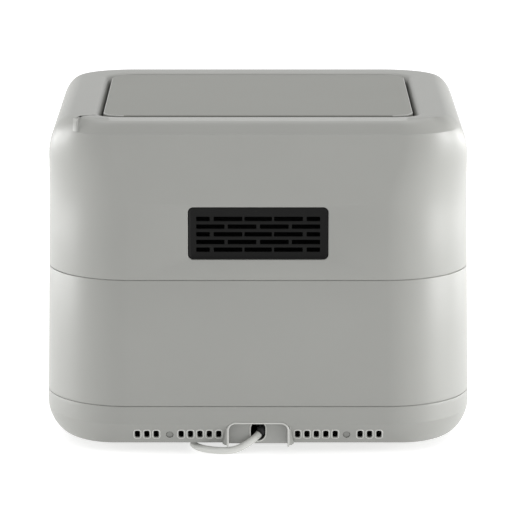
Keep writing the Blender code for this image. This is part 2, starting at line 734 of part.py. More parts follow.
def handle_outline(inset):
    """The handle in plan: a bar on two posts, its edges moved in by inset."""
    half, post, bar = 85 * MM, 18 * MM, 15 * MM
    root, tip = DEPTH + GAP, DEPTH + HANDLE_REACH
    outline = [(-(half - inset), y_of(root)), (-(half - post + inset), y_of(root))]
    steps = 4
    for side, start in ((-1, 180), (1, 270)):
        radius = 8 * MM + inset
        for step in range(steps + 1):
            angle = math.radians(start + 90 * step / steps)
            x = side * (half - post + inset - radius) + radius * math.cos(angle)
            outline.append((x, y_of(tip - bar + inset - radius) + radius * math.sin(angle)))
    outline += [(half - post + inset, y_of(root)), (half - inset, y_of(root))]
    for side, start in ((1, 0), (-1, -90)):
        radius = 18 * MM - inset
        for step in range(steps + 1):
            angle = math.radians(start - 90 * step / steps)
            x = side * (half - inset - radius) + radius * math.cos(angle)
            outline.append((x, y_of(tip - inset - radius) + radius * math.sin(angle)))
    return outline


def make_drawer():
    low, top = BASE_TOP + GAP / 2, MID_SEAM - GAP / 2
    front = bmesh.new()
    add_loft(front, [flat_ring(body_outline(h), h) for h in (low, top)])
    front = node("drawer_front", front, "shell")
    hollow = bmesh.new()
    thick = 3 * MM
    inner = (low + thick, top - thick)
    add_loft(hollow, [flat_ring(body_outline(h, thick), h) for h in inner])
    carve(front, hollow)
    behind = bmesh.new()
    add_box(behind, (-0.3, 0.3), (-0.1, DOOR_DEPTH), (0, 0.2))
    carve(front, behind)

    liner = bmesh.new()
    depths = (DOOR_DEPTH + GAP, DOOR_DEPTH + 2.8 * MM)
    add_box(liner, (-189 * MM, 189 * MM), depths, (inner[0] + GAP, inner[1] - GAP))
    node("drawer_front_liner", liner, "coated")

    tub = bmesh.new()
    front_face = DOOR_DEPTH - GAP
    sections = (
        (TUB_LOW, -8, 0),
        (TUB_LOW + 2 * MM, -3, 0),
        (TUB_LOW + 8 * MM, 0, 0),
        (RIM_LOW, 0, 0),
        (RIM_LOW, 4, 0),
        (TUB_TOP, 4, 0),
        (TUB_TOP, -1.4, -1.4),
        (TUB_LOW + 8 * MM, -1.4, -1.4),
        (TUB_LOW + 3 * MM, -4, -1.4),
        (TUB_LOW + 1.4 * MM, -9, -1.4),
    )
    rings = []
    for height, wider, longer in sections:
        half = TUB_HALF + wider * MM
        ends = (TUB_REAR - longer * MM, front_face + longer * MM)
        rings.append(flat_ring(panel_outline(half, *ends, 22 * MM + longer * MM, 4), height))
    add_loft(tub, rings)
    node("drawer_tub", tub, "coated")

    handle = bmesh.new()
    levels = ((103, 2), (105, 0), (127, 0), (129, 2))
    add_loft(handle, [flat_ring(handle_outline(i * MM), h * MM) for h, i in levels])
    node("drawer_handle", handle, "black")


def make_crisper(name, side):
    near, far = 1.5 * MM, 159.5 * MM
    middle, half = side * (near + far) / 2, (far - near) / 2
    outline = [
        (x + middle, y) for x, y in panel_outline(half, 66 * MM, 314 * MM, 20 * MM, 3)
    ]
    plate = bmesh.new()
    rings = [flat_ring(outline, PLATE_HEIGHT), flat_ring(outline, PLATE_HEIGHT + 1.5 * MM)]
    add_loft(plate, rings)
    plate = node(f"crisper_plate_{name}", plate, "coated")
    slots = bmesh.new()
    for row in range(6):
        depth = (90 + 38 * row) * MM
        for column in (-1, 0, 1):
            x = middle + column * 45 * MM
            ends = (x - 15 * MM, x + 15 * MM)
            add_box(slots, ends, (depth, depth + 8 * MM), (PLATE_HEIGHT - 4 * MM, PLATE_HEIGHT + 6 * MM))
    carve(plate, slots)
    legs = bmesh.new()
    for x in (middle - 62 * MM, middle + 62 * MM):
        for depth in (84 * MM, 296 * MM):
            heights = (TUB_LOW + 1.4 * MM + GAP, PLATE_HEIGHT + MM)
            add_cylinder(legs, 5 * MM, x, depth, heights, steps=10)
    carve(plate, legs, "UNION")


def make_feet():
    profile = ((11 * MM, -FOOT), (12 * MM, -GAP))
    for side_name, x in (("left", 140 * MM), ("right", -140 * MM)):
        for end_name, depth in (("back", 76 * MM), ("front", 300 * MM)):
            rings = []
            for radius, height in profile:
                outline = [(x + a, y_of(depth) + b) for a, b in circle(radius, 16)]
                rings.append(flat_ring(outline, height))
            foot = bmesh.new()
            add_loft(foot, rings)
            node(f"foot_{end_name}_{side_name}", foot, "rubber")
    for side_name, side in (("left", 1), ("right", -1)):
        plug = bmesh.new()
        add_cylinder(plug, 3.2 * MM, side * PLUG_X, (6 * MM, 11 * MM), PLUG_HEIGHT, axis="Y")
        node(f"screw_plug_{side_name}", plug, "shell")


def gland_point(back):
    """Where the gland's middle is, this far back along it from where the cord comes out."""
    share = min(1.0, back / GLAND_BEND)
    yaw = CORD_YAW + (math.radians(90) - CORD_YAW) * share / 2
    pitch = CORD_PITCH * (1 - share / 2)
    curved, straight = min(back, GLAND_BEND), max(0.0, back - GLAND_BEND)
    return CORD_START - heading(yaw, pitch) * curved - Vector((0, straight, 0))


def heading(yaw, pitch):
    """The unit direction at an angle from +X towards +Y, and at an angle upwards."""
    return Vector((math.cos(pitch) * math.cos(yaw), math.cos(pitch) * math.sin(yaw), math.sin(pitch)))


def cord_route():
    """Out of the gland, down to the table, round in one bend, and under the body to the coil."""
    place, yaw, pitch = CORD_START.copy(), CORD_YAW, CORD_PITCH
    levelling = CORD_LOW + CORD_BEND * (1 - math.cos(pitch))
    turn = CORD_STEP / CORD_BEND
    route = [place.copy()]
    while pitch < 0 or yaw > math.radians(-90):
        for _ in range(CORD_SKIP):
            if place.z > levelling:
                yaw = max(CORD_SIDEWAYS, yaw - turn / math.cos(pitch))
            elif pitch < 0:
                pitch = min(0.0, pitch + turn)
            else:
                yaw = max(math.radians(-90), yaw - turn)
            place = place + heading(yaw, pitch) * CORD_STEP
        route.append(place.copy())
    start, end = place, Vector((place.x, y_of(COIL_DEPTH) + CORD_LEAD, CORD_LOW))
    for span in range(1, CORD_SPANS + 1):
        share = span / CORD_SPANS
        sway = CORD_SWAY * math.sin(2 * math.pi * share) * math.sin(math.pi * share)
        route.append(start.lerp(end, share) + Vector((sway, 0, 0)))
    return route


def make_cord():
    route = cord_route()
    tube("cord_tube", route, CORD_RADIUS, "cord")

    coil = bmesh.new()
    inner, outer = COIL_RADIUS - CORD_RADIUS, COIL_RADIUS + CORD_RADIUS
    low = 0.2 * MM - FOOT
    high = low + 2 * CORD_RADIUS * COIL_LAYERS
    soft = 2 * MM
    profile = (
        (inner, low + soft),
        (inner, high - soft),
        (inner + soft, high),
        (outer - soft, high),
        (outer, high - soft),
        (outer, low + soft),
        (outer - soft, low),
        (inner + soft, low),
    )
    coil_x = route[-1].x - COIL_RADIUS
    add_turned(coil, profile, coil_x, COIL_DEPTH, steps=28)
    node("cord_coil", coil, "cord")

    plug_y = y_of(COIL_DEPTH + COIL_RADIUS)
    start = coil_x - 25 * MM
    stations = (  # (along, half width, half height, z, how square)
        (0, 4.2, 4.2, 17.0, 0),
        (10, 4.8, 4.8, 16.0, 0),
        (20, 5.6, 5.6, 14.4, 0),
        (30, 6.6, 6.6, 13.0, 0),
        (34, 10, 9.6, 12.6, 0.5),
        (40, 13.5, 12, 12.4, 1),
        (56, 13.5, 12, 12.4, 1),
        (58, 12.5, 11, 12.4, 1),
    )
    rings = []
    for along, wide, tall, z, square in stations:
        ring = []
        for a, b in circle(1, 16, math.pi / 16):
            stretch = (abs(a) ** 5 + abs(b) ** 5) ** -0.2
            scale = 1 + square * (stretch - 1)
            y = plug_y + a * wide * scale * MM
            ring.append(Vector((start - along * MM, y, (z + b * tall * scale) * MM)))
        rings.append(ring)
    plug = bmesh.new()
    add_loft(plug, rings)
    node("plug_body", plug, "cord")
    face = start - 58 * MM - GAP
    for name, y in (("live", -6.35 * MM), ("neutral", 6.35 * MM)):
        outline = [
            (face, plug_y + y - 0.75 * MM),
            (face - 16 * MM, plug_y + y - 0.75 * MM),
            (face - 16 * MM, plug_y + y + 0.75 * MM),
            (face, plug_y + y + 0.75 * MM),
        ]
        blade = bmesh.new()
        add_loft(blade, [flat_ring(outline, (z - 10) * MM) for z in (12.6, 18.9)])
        node(f"plug_blade_{name}", blade, "brass")
    earth = bmesh.new()
    ground = [Vector((face - along, plug_y, 7.2 * MM)) for along in (0, 17 * MM, 19 * MM)]
    add_tapered(earth, list(zip(ground, (2.3 * MM, 2.3 * MM, 1 * MM))), 10)
    node("plug_earth_pin", earth, "brass")


def main():
    clear_scene()
    make_base_cover()
    make_cord_outlet()
    make_casing()
    make_top_panel()
    make_exhaust()
    make_cavity()
    make_interlock()
    for name, side in (("left", 1), ("right", -1)):
        make_zone(name, side)
        make_crisper(name, side)
    make_electrics()
    make_controls()
    make_drawer()
    make_feet()
    make_cord()


main()
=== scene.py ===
"""The looks of a two-zone air fryer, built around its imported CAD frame. Lengths are in metres."""

from functools import partial
from math import atan2, cos, pi, radians, sin, sqrt

import bmesh
import bpy
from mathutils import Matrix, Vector


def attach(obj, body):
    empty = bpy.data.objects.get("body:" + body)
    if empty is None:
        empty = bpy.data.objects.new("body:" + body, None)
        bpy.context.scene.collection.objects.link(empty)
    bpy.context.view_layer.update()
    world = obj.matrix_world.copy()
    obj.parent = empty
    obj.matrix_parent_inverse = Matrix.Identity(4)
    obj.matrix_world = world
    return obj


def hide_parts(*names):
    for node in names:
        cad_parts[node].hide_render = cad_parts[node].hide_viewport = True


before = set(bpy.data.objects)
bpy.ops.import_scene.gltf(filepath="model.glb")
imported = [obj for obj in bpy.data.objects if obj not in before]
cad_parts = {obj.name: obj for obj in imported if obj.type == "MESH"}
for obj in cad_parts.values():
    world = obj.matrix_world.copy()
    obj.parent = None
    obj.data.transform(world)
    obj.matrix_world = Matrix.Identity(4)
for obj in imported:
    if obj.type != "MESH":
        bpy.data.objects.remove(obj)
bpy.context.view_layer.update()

MM = 0.001
GAP = 0.3 * MM
WALL = 2.5 * MM

# Body: half width at the feet, draft, depth, height above the feet
HALF_WIDTH, DRAFT = 205 * MM, 5 * MM
DEPTH, HEIGHT = 373 * MM, 314 * MM
FOOT = 10 * MM
HANDLE_REACH = 45 * MM
BASE_TOP, MID_SEAM, BAND_LOW = 38.3 * MM, 161 * MM, 301 * MM
CORNER = (82 * MM, 90 * MM)
CORNER_LOW = (47 * MM, 62 * MM)
CORNER_TOP = (51 * MM, 43 * MM)
CORNER_BLEND = 92 * MM  # the height over which the corners tighten towards the top
CORNER_LATE = 0.25  # the share of that which comes only as the sides round over
SIDE_TOP_ROUND = (23.6 * MM, 44.4 * MM)
SIDE_LOW_ROUND = (20 * MM, 28.8 * MM)
FRONT_TOP_ROUND = (38 * MM, 58 * MM)
FACET = (11.8 * MM, 20.7 * MM)
BAND = (11.3 * MM, HEIGHT - BAND_LOW)
BAND_STOP = (171.4 * MM, 3.2 * MM)  # where it stops on the left (+X), and over how much
BAND_FADE = (18, 34)  # degrees round the right rear corner: where it has run out, and over how much
BAND_ROUND, BAND_TURN = 5 * MM, 0.62  # its upper edge is rolled over from this share of its height
CORNER_STEPS = 64
BAND_SHINE = (141 * MM, 164 * MM)  # how far its upper edge is fully rolled and carries a painted highlight, and how far it is rolled at all
SEAM_ROLL = 0.8 * MM

# Top
RECESS_HALF, RECESS_REAR, RECESS_FRONT = 150.4 * MM, 26.5 * MM, 307 * MM
RECESS_ROUND, PANEL_ROUND = 24 * MM, 20 * MM
SIDE_ROLL = 1.65  # how much broader the recess's edge is at its sides than behind
PANEL_HALF, PANEL_REAR, PANEL_FRONT = 147.6 * MM, 35.8 * MM, 299 * MM
DECK_TOP = 289.7 * MM

# Drawer and cavity
DOOR_DEPTH = 320.3 * MM
TUB_HALF, TUB_REAR = 165 * MM, 60.3 * MM
TUB_LOW, RIM_LOW, TUB_TOP = 48 * MM, 148 * MM, 149.5 * MM
TUB_ROUND, TUB_OUTER, TUB_INNER, TUB_WALL = 22 * MM, 9 * MM, 7.6 * MM, 1.4 * MM
LINER_HALF, LINER_ROUND = 189 * MM, 6 * MM
HANDLE_LOW, HANDLE_TOP, HANDLE_EDGE = 103 * MM, 129 * MM, 3 * MM
PLATE_HEIGHT = 62 * MM
PLATE_NEAR, PLATE_FAR = 1.5 * MM, 159.5 * MM  # either plate's sides, from the middle

# Rear exhaust
VENT_HALF, VENT_LOW, VENT_TOP = 66.5 * MM, 181 * MM, 231.3 * MM
VENT_ROUND = 5 * MM
SLOT_HEIGHT, SLOT_PITCH, SLOT_FIELD = 4.2 * MM, 7.4 * MM, 58.6 * MM

# Controls
GLASS_HALF, GLASS_LOW, GLASS_TOP = 112 * MM, 182 * MM, 246 * MM
DIAL_HEIGHT = 214 * MM

# Base
FOOT_X = 140 * MM
PLUG_X, PLUG_HEIGHT, PLUG_HOLE = 84.6 * MM, 9 * MM, 3.5 * MM
BASE_SLOT_PITCH, BASE_SLOT_HALF = 9 * MM, 2.35 * MM
BASE_SLOT_LOW, BASE_SLOT_TOP, BASE_SLOT_ROUND = 6 * MM, 13.3 * MM, 1.5 * MM

# Cord
CORD_RADIUS = 3.5 * MM
OUTLET_HALF, OUTLET_LOW, OUTLET_TOP = 30 * MM, -1.2 * MM, 22.8 * MM
OUTLET_ROUND, OUTLET_RIM, OUTLET_EDGE = 8.5 * MM, 2 * MM, 0.9 * MM
OUTLET_BACK = 14 * MM  # how deep the outlet's back panel lies
COIL_RADIUS = 11 * CORD_RADIUS
COIL_DEPTH = DEPTH + 56 * MM

REAR_Y = (DEPTH + HANDLE_REACH) / 2
SIDES = (("left", 1), ("right", -1))  # as seen from behind, with the sign of x

# The cord's way out: where it leaves its gland, its direction there, and its tightest bend
CORD_START = Vector((-0.6 * MM, REAR_Y - 14.5 * MM, 17.8 * MM))
CORD_YAW, CORD_PITCH = radians(50), radians(-30)
CORD_SIDEWAYS = radians(-10)  # how far round it turns before it is down
CORD_BEND = 30 * MM
CORD_LOW = CORD_RADIUS + 0.35 * MM  # its middle, where it lies on the table
CORD_STEP, CORD_SKIP = 0.5 * MM, 8
CORD_LEAD = 26 * MM  # the straight stretch that leads into the coil
CORD_SPANS, CORD_SWAY = 12, 2.5 * MM
GLAND_BEND = 18 * MM
COIL_TURNS, COIL_STEPS = 2.25, 48


def y_of(depth):
    return REAR_Y - depth


def z_of(height):
    return FOOT + height


def add_to_scene(name, data):
    obj = bpy.data.objects.new(name, data)
    bpy.context.scene.collection.objects.link(obj)
    return obj


# Camera


def make_camera():
    target = Vector((0.6 * MM, REAR_Y, 193.2 * MM))
    distance, elevation = 3.5873, 0.194
    away = Vector((0, cos(elevation), sin(elevation)))
    camera = bpy.data.cameras.new("camera")
    camera.lens, camera.sensor_width = 265, 36
    camera.clip_end = 50
    obj = add_to_scene("camera", camera)
    obj.location = target + away * distance
    obj.rotation_euler = (-away).to_track_quat("-Z", "Y").to_euler()
    bpy.context.scene.camera = obj


# Materials


def grained(
    name, colour, roughness, metallic=0.0, grain=0.7 * MM, bump=0.1, vary=0.03, spread=0.05,
    stretch=(1, 1, 1), mottle=60 * MM, specular=0.5, coat=0.0, wear=0.0,
):
    """A surface whose colour and roughness drift slowly, over a fine moulded or rolled grain."""
    material = bpy.data.materials.new(name)
    material.use_nodes = True
    nodes, links = material.node_tree.nodes, material.node_tree.links

    def set_inputs(node, inputs):
        for key, value in inputs.items():
            node.inputs[key].default_value = value

    def link(giver, output, taker, key):
        links.new(giver.outputs[output], taker.inputs[key])

    def add(kind, inputs):
        node = nodes.new(f"ShaderNode{kind}")
        set_inputs(node, inputs)
        return node

    shader = nodes["Principled BSDF"]
    set_inputs(shader, {"Metallic": metallic, "Specular IOR Level": specular, "Coat Weight": coat})
    where = nodes.new("ShaderNodeTexCoord")
    scaled = add("Mapping", {"Scale": stretch})
    link(where, "Object", scaled, "Vector")

    drift = add("TexNoise", {"Scale": 1 / mottle, "Detail": 4})
    link(scaled, "Vector", drift, "Vector")
    ramp = nodes.new("ShaderNodeValToRGB")
    dark, pale = ramp.color_ramp.elements
    dark.position, pale.position = 0.3, 0.7
    dark.color = (*(c * (1 - vary) for c in colour), 1)
    pale.color = (*(min(1.0, c * (1 + vary)) for c in colour), 1)
    link(drift, "Fac", ramp, "Fac")
    tone = ramp.outputs["Color"]

    fine = add("TexNoise", {"Scale": 1 / grain, "Detail": 3, "Roughness": 0.6})
    link(scaled, "Vector", fine, "Vector")
    if wear:
        edge = nodes.new("ShaderNodeNewGeometry")
        worn = add("MapRange", {"From Min": 0.52, "From Max": 0.62, "To Min": 0, "To Max": wear})
        link(edge, "Pointiness", worn, "Value")
        mix = nodes.new("ShaderNodeMix")
        mix.data_type = "RGBA"
        mix.inputs["B"].default_value = (*(min(1.0, c * 1.6 + 0.02) for c in colour), 1)
        link(worn, "Result", mix, "Factor")
        links.new(tone, mix.inputs["A"])
        tone = mix.outputs["Result"]
    links.new(tone, shader.inputs["Base Color"])

    rough = add("MapRange", {"To Min": max(0.02, roughness - spread), "To Max": min(1.0, roughness + spread)})
    link(fine, "Fac", rough, "Value")
    link(rough, "Result", shader, "Roughness")

    relief = add("Bump", {"Strength": bump, "Distance": 0.1 * MM})
    link(fine, "Fac", relief, "Height")
    link(relief, "Normal", shader, "Normal")
    return material


SHELL = grained("shell_plastic", (0.258, 0.26, 0.245), 0.42, bump=0.12, vary=0.012)
# A paler copy of the shell for the slot rims and the outlet's lip: a painted highlight where their rounded
# edges catch the light.
HIGHLIGHT_LIP = grained("painted_highlight_lip", (0.46, 0.462, 0.442), 0.3, bump=0.05, vary=0.02)
# A paler copy of the shell: painted light, as a highlight on the top's rear lip, the panel's side edges and
# the band's stop, and to lift the outlet's frame out of the shade in its hollow.
PAINTED_LIGHT = grained("painted_light_edge", (0.33, 0.332, 0.317), 0.35, bump=0.05, vary=0.02)
# A darker copy of the shell: painted shade for the screw caps, which sit sunk in the base.
SHADED_CAP = grained("cap_painted_shade", (0.20, 0.202, 0.19), 0.5, bump=0.12, vary=0.02)
PANEL = grained("panel_plastic", (0.203, 0.205, 0.188), 0.5, grain=0.5 * MM, bump=0.05, vary=0.01,
                specular=0.3)
BLACK = grained("black_plastic", (0.0062, 0.0062, 0.006), 0.5, grain=0.6 * MM, vary=0.1, specular=0.11)
SOFT_BLACK = grained("handle_plastic", (0.022, 0.022, 0.022), 0.5, grain=0.9 * MM, bump=0.3, vary=0.1)
GLASS = grained("control_glass_black", (0.008, 0.008, 0.009), 0.07, grain=6 * MM, bump=0.01, vary=0.2,
                spread=0.03, coat=0.6)
STEEL = grained("brushed_sheet", (0.56, 0.56, 0.55), 0.34, 1.0, grain=0.4 * MM, vary=0.05,
                spread=0.12, stretch=(0.06, 1, 1))
PLATED = grained("galvanised_sheet", (0.50, 0.51, 0.51), 0.42, 1.0, grain=3 * MM, bump=0.04, vary=0.16,
                 spread=0.12, mottle=9 * MM)
HEATER = grained("heater_tube", (0.19, 0.185, 0.18), 0.45, 0.9, grain=0.8 * MM, vary=0.18,
                 spread=0.12, mottle=12 * MM)
# Near black: painted shade for the inside of the duct, seen through the exhaust's slots.
DUCT_SHADE = grained("painted_shade_sheet", (0.012, 0.012, 0.012), 0.7, grain=1.2 * MM, vary=0.2, specular=0.1)
SPUN = grained("spun_dial", (0.46, 0.46, 0.45), 0.27, 1.0, grain=0.35 * MM, bump=0.05, vary=0.04,
               spread=0.08, stretch=(1, 0.05, 1))
COATED = grained("nonstick_coating", (0.026, 0.026, 0.027), 0.38, 0.2, grain=0.5 * MM, bump=0.3, vary=0.2,
                 spread=0.1, mottle=5 * MM, wear=0.3)
RUBBER = grained("foot_rubber", (0.025, 0.025, 0.026), 0.82, grain=0.8 * MM, bump=0.3, vary=0.15)
WINDING = grained("motor_can", (0.34, 0.34, 0.33), 0.36, 0.85, grain=0.6 * MM, vary=0.12,
                  spread=0.1, mottle=14 * MM)
LAMINATED = grained("transformer_stack", (0.10, 0.095, 0.09), 0.5, 0.6, grain=0.5 * MM, bump=0.5,
                    vary=0.2, stretch=(1, 0.03, 0.03))
BOARD = grained("circuit_board", (0.012, 0.09, 0.035), 0.38, grain=1.5 * MM, vary=0.35,
                spread=0.12, mottle=6 * MM)
SHEATH = grained("cord_sheath", (0.56, 0.565, 0.54), 0.48, grain=0.8 * MM, bump=0.08, vary=0.025)
NYLON = grained("white_nylon", (0.66, 0.66, 0.63), 0.45, vary=0.04)
NICKEL = grained("nickel_plate", (0.63, 0.60, 0.54), 0.22, 1.0, grain=0.5 * MM, bump=0.05, vary=0.06,
                 spread=0.08, mottle=4 * MM)
TIE = grained("tie_strap", (0.03, 0.03, 0.032), 0.9, grain=0.35 * MM, bump=0.6, vary=0.25, mottle=3 * MM)
INK = grained("pale_print", (0.62, 0.63, 0.62), 0.5, grain=0.4 * MM, bump=0.03, vary=0.04)


# Outlines, as lists of (x, y) or (x, z)


def rounded_outline(half, rear, front, rear_round, front_round, steps=CORNER_STEPS):
    """A rectangle from -half to half and from one depth to another, with elliptical corners."""
    corners = ((1, rear, rear_round, 0), (-1, rear, rear_round, 90))
    corners += ((-1, front, front_round, 180), (1, front, front_round, 270))
    outline = []
    for side, depth, (across, along), start in corners:
        inward = along if depth == rear else -along
        for step in range(steps + 1):
            angle = radians(start + 90 * step / steps)
            x = side * (half - across) + across * cos(angle)
            outline.append((x, y_of(depth + inward) + along * sin(angle)))
    return outline


def quarter(share):
    """How far a quarter ellipse of unit radii falls away at this share of its height."""
    return 1 - sqrt(max(0.0, 1 - share * share))


def body_outline(height, inset=0.0):
    """The body's outline at a height above its lower edge, moved inwards by inset."""
    low = quarter(max(0.0, 1 - height / SIDE_LOW_ROUND[1]))
    top = quarter(max(0.0, 1 - (HEIGHT - height) / SIDE_TOP_ROUND[1]))
    front_top = quarter(max(0.0, 1 - (HEIGHT - height) / FRONT_TOP_ROUND[1]))
    half = HALF_WIDTH - DRAFT * height / HEIGHT - SIDE_LOW_ROUND[0] * low - SIDE_TOP_ROUND[0] * top
    rear = FACET[0] * max(0.0, 1 - height / FACET[1])
    front = DEPTH - FRONT_TOP_ROUND[0] * front_top
    top = CORNER_LATE * top + (1 - CORNER_LATE) * smooth_step(1 - (HEIGHT - height) / CORNER_BLEND)
    across, along = (
        plain + low * (lower - plain) + top * (upper - plain) - inset
        for plain, lower, upper in zip(CORNER, CORNER_LOW, CORNER_TOP)
    )
    outline = rounded_outline(half - inset, rear + inset, front - inset, (across, along), (across, along))
    share_up = max(0.0, (height - BAND_LOW) / BAND[1])
    slant = BAND[0] * share_up
    roll = BAND_ROUND * quarter(max(0.0, share_up - BAND_TURN) / (1 - BAND_TURN))
    for step in range(CORNER_STEPS + 1):
        angle = 90 * step / CORNER_STEPS
        for side, index in ((1, step), (-1, 2 * CORNER_STEPS + 1 - step)):
            x, y = outline[index]
            full = smooth_step((BAND_SHINE[1] - abs(x)) / (BAND_SHINE[1] - BAND_SHINE[0]))
            outline[index] = (x, y - (slant + roll * full) * band_share(side, angle, abs(x)))
    return outline


def band_share(side, angle, across):
    """How much of the band's slant is left: it stops short on one side and runs out on the other."""
    if side > 0:
        return smooth_step((BAND_STOP[0] - across) / BAND_STOP[1])
    return smooth_step((angle - BAND_FADE[0]) / BAND_FADE[1])


def smooth_step(t):
    t = min(1.0, max(0.0, t))
    return t * t * (3 - 2 * t)


def panel_outline(half, rear, front, radius, steps=10):
    return rounded_outline(half, rear, front, (radius, radius), (radius, radius), steps)


def arc(x, z, radius, start, steps, turn=90):
    """Points on a circle about (x, z), from one angle in degrees and on by another."""
    angles = [radians(start + turn * step / steps) for step in range(steps + 1)]
    return [(x + radius * cos(angle), z + radius * sin(angle)) for angle in angles]


def upright_outline(half, low, top, radius, steps=6, x=0.0):
    """A rounded rectangle in (x, z), from one height to another."""
    outline = []
    corners = ((1, top - radius), (-1, top - radius), (-1, low + radius), (1, low + radius))
    for index, (side, height) in enumerate(corners):
        outline += arc(x + side * (half - radius), z_of(height), radius, 90 * index, steps)
    return outline


def arch_outline(half, low, top, radius, steps=10):
    """An upright outline in (x, z) with square feet and round shoulders."""
    outline = [(-half, z_of(low)), (half, z_of(low))]
    for side, start in ((1, 0), (-1, 90)):
        outline += arc(side * (half - radius), z_of(top - radius), radius, start, steps)
    return outline


def circle(radius, steps):
    turn = 2 * pi / steps
    return [(radius * cos(i * turn), radius * sin(i * turn)) for i in range(steps)]


def flat_ring(outline, height):
    """The outline's points at a height above the body's lower edge."""
    return [Vector((x, y, z_of(height))) for x, y in outline]


def upright_ring(outline, depth):
    return [Vector((x, y_of(depth), z)) for x, z in outline]


# Meshes


def add_loft(mesh, rings, closed=False):
    """Skins rings of equal point counts. Closed joins the last to the first; else the ends are capped."""
    rows = [[mesh.verts.new(point) for point in ring] for ring in rings]
    pairs = list(zip(rows, rows[1:]))
    if closed:
        pairs.append((rows[-1], rows[0]))
    for low, high in pairs:
        for i in range(len(low)):
            j = (i + 1) % len(low)
            mesh.faces.new((low[i], low[j], high[j], high[i]))
    if not closed:
        mesh.faces.new(rows[0])
        mesh.faces.new(rows[-1])


def lofted(rings, closed=False):
    mesh = bmesh.new()
    add_loft(mesh, rings, closed)
    return mesh


def turned(profile, centre, axis, steps, closed=True):
    """Turns a profile of (radius, along) about an axis through centre."""
    axis = Vector(axis)
    side = axis.orthogonal().normalized()
    up = axis.cross(side)
    rings = [
        [Vector(centre) + axis * along + side * a + up * b for a, b in circle(radius, steps)]
        for radius, along in profile
    ]
    return lofted(rings, closed)


def shade(data, sharp=40):
    data.shade_smooth()
    data.set_sharp_from_angle(angle=radians(sharp))


def mesh_object(name, mesh):
    bmesh.ops.recalc_face_normals(mesh, faces=mesh.faces)
    data = bpy.data.meshes.new(name)
    mesh.to_mesh(data)
    mesh.free()
    return add_to_scene(name, data)


def piece(name, mesh, material, nodes=(), body="housing", sharp=40):
    """Turns a mesh into a shown piece that rides on a body and stands for some CAD nodes."""
    obj = mesh_object(name, mesh)
    obj.data.materials.append(material)
    shade(obj.data, sharp)
    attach(obj, body)
    if nodes:
        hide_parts(*nodes)
    return obj


def carve(obj, mesh, operation="DIFFERENCE"):
    """Cuts a mesh out of an object, or joins it on with UNION."""
    tool = mesh_object("tool", mesh)
    cut = obj.modifiers.new("cut", "BOOLEAN")
    cut.operation = operation
    cut.solver = "EXACT"
    cut.object = tool
    bpy.context.view_layer.update()
    shown = bpy.context.evaluated_depsgraph_get()
    plain, obj_data = obj.data, bpy.data.meshes.new_from_object(obj.evaluated_get(shown))
    obj.modifiers.clear()
    obj.data = obj_data
    shade(obj_data)
    bpy.data.meshes.remove(plain)
    bpy.data.meshes.remove(tool.data)


def cut_front(obj, near, far=DEPTH + 30 * MM):
    """Cuts away all between two depths, at any width and height."""
    half, top = 0.3, 0.2
    outline = [(-half, y_of(near)), (half, y_of(near)), (half, y_of(far)), (-half, y_of(far))]
    carve(obj, lofted([flat_ring(outline, 0), flat_ring(outline, top)]))


def rolled_edge(radius, steps=4):
    """How far a rounded edge stands in from a wall and below its rim, from the rim to the wall."""
    turn = pi / 2 / steps
    return [(radius * (1 - sin(i * turn)), radius * (1 - cos(i * turn))) for i in range(steps + 1)]


def add_flared(mesh, outline, place, radius, deep):
    """A cutter for a hole whose mouth is rounded. outline takes an offset; place takes (x, z, inwards)."""
    stations = [(radius, -3 * MM), *rolled_edge(radius), (0, deep)]
    add_loft(mesh, [[place(x, z, inward) for x, z in outline(offset)] for offset, inward in stations])


def on_wall(x, z, inward):
    return Vector((x, y_of(inward), z))


def upright_prism(outline, near, far):
    return lofted([upright_ring(outline, near), upright_ring(outline, far)])


# Cord


def heading(yaw, pitch):
    """The unit direction at an angle from +X towards +Y, and at an angle upwards."""
    return Vector((cos(pitch) * cos(yaw), cos(pitch) * sin(yaw), sin(pitch)))


def gland_point(back):
    """Where the gland's middle is, this far back along it from where the cord comes out."""
    share = min(1.0, back / GLAND_BEND)
    yaw = CORD_YAW + (radians(90) - CORD_YAW) * share / 2
    pitch = CORD_PITCH * (1 - share / 2)
    curved, straight = min(back, GLAND_BEND), max(0.0, back - GLAND_BEND)
    return CORD_START - heading(yaw, pitch) * curved - Vector((0, straight, 0))


def cord_route():
    """Out of the gland, down to the table, round in one bend, and under the body to the coil."""
    place, yaw, pitch = CORD_START.copy(), CORD_YAW, CORD_PITCH
    levelling = CORD_LOW + CORD_BEND * (1 - cos(pitch))
    turn = CORD_STEP / CORD_BEND
    route = [place.copy()]
    while pitch < 0 or yaw > radians(-90):
        for _ in range(CORD_SKIP):
            if place.z > levelling:
                yaw = max(CORD_SIDEWAYS, yaw - turn / cos(pitch))
            elif pitch < 0:
                pitch = min(0.0, pitch + turn)
            else:
                yaw = max(radians(-90), yaw - turn)
            place = place + heading(yaw, pitch) * CORD_STEP
        route.append(place.copy())
    start, end = place, Vector((place.x, y_of(COIL_DEPTH) + CORD_LEAD, CORD_LOW))
    for span in range(1, CORD_SPANS + 1):
        share = span / CORD_SPANS
        sway = CORD_SWAY * sin(2 * pi * share) * sin(pi * share)
        route.append(start.lerp(end, share) + Vector((sway, 0, 0)))
    return route


def smooth_line(points, per_span):
    """A cubic B-spline led by points, from the first to the last, with per_span steps a span."""
    ends = [points[0] * 2 - points[1], *points, points[-1] * 2 - points[-2]]
    line = []
    for a, b, c, d in zip(ends, ends[1:], ends[2:], ends[3:]):
        for step in range(per_span):
            t = step / per_span
            weights = ((1 - t) ** 3, 3 * t**3 - 6 * t**2 + 4, 3 * (t + t * t - t**3) + 1, t**3)
            line.append((a * weights[0] + b * weights[1] + c * weights[2] + d * weights[3]) / 6)
    return [*line, points[-1]]


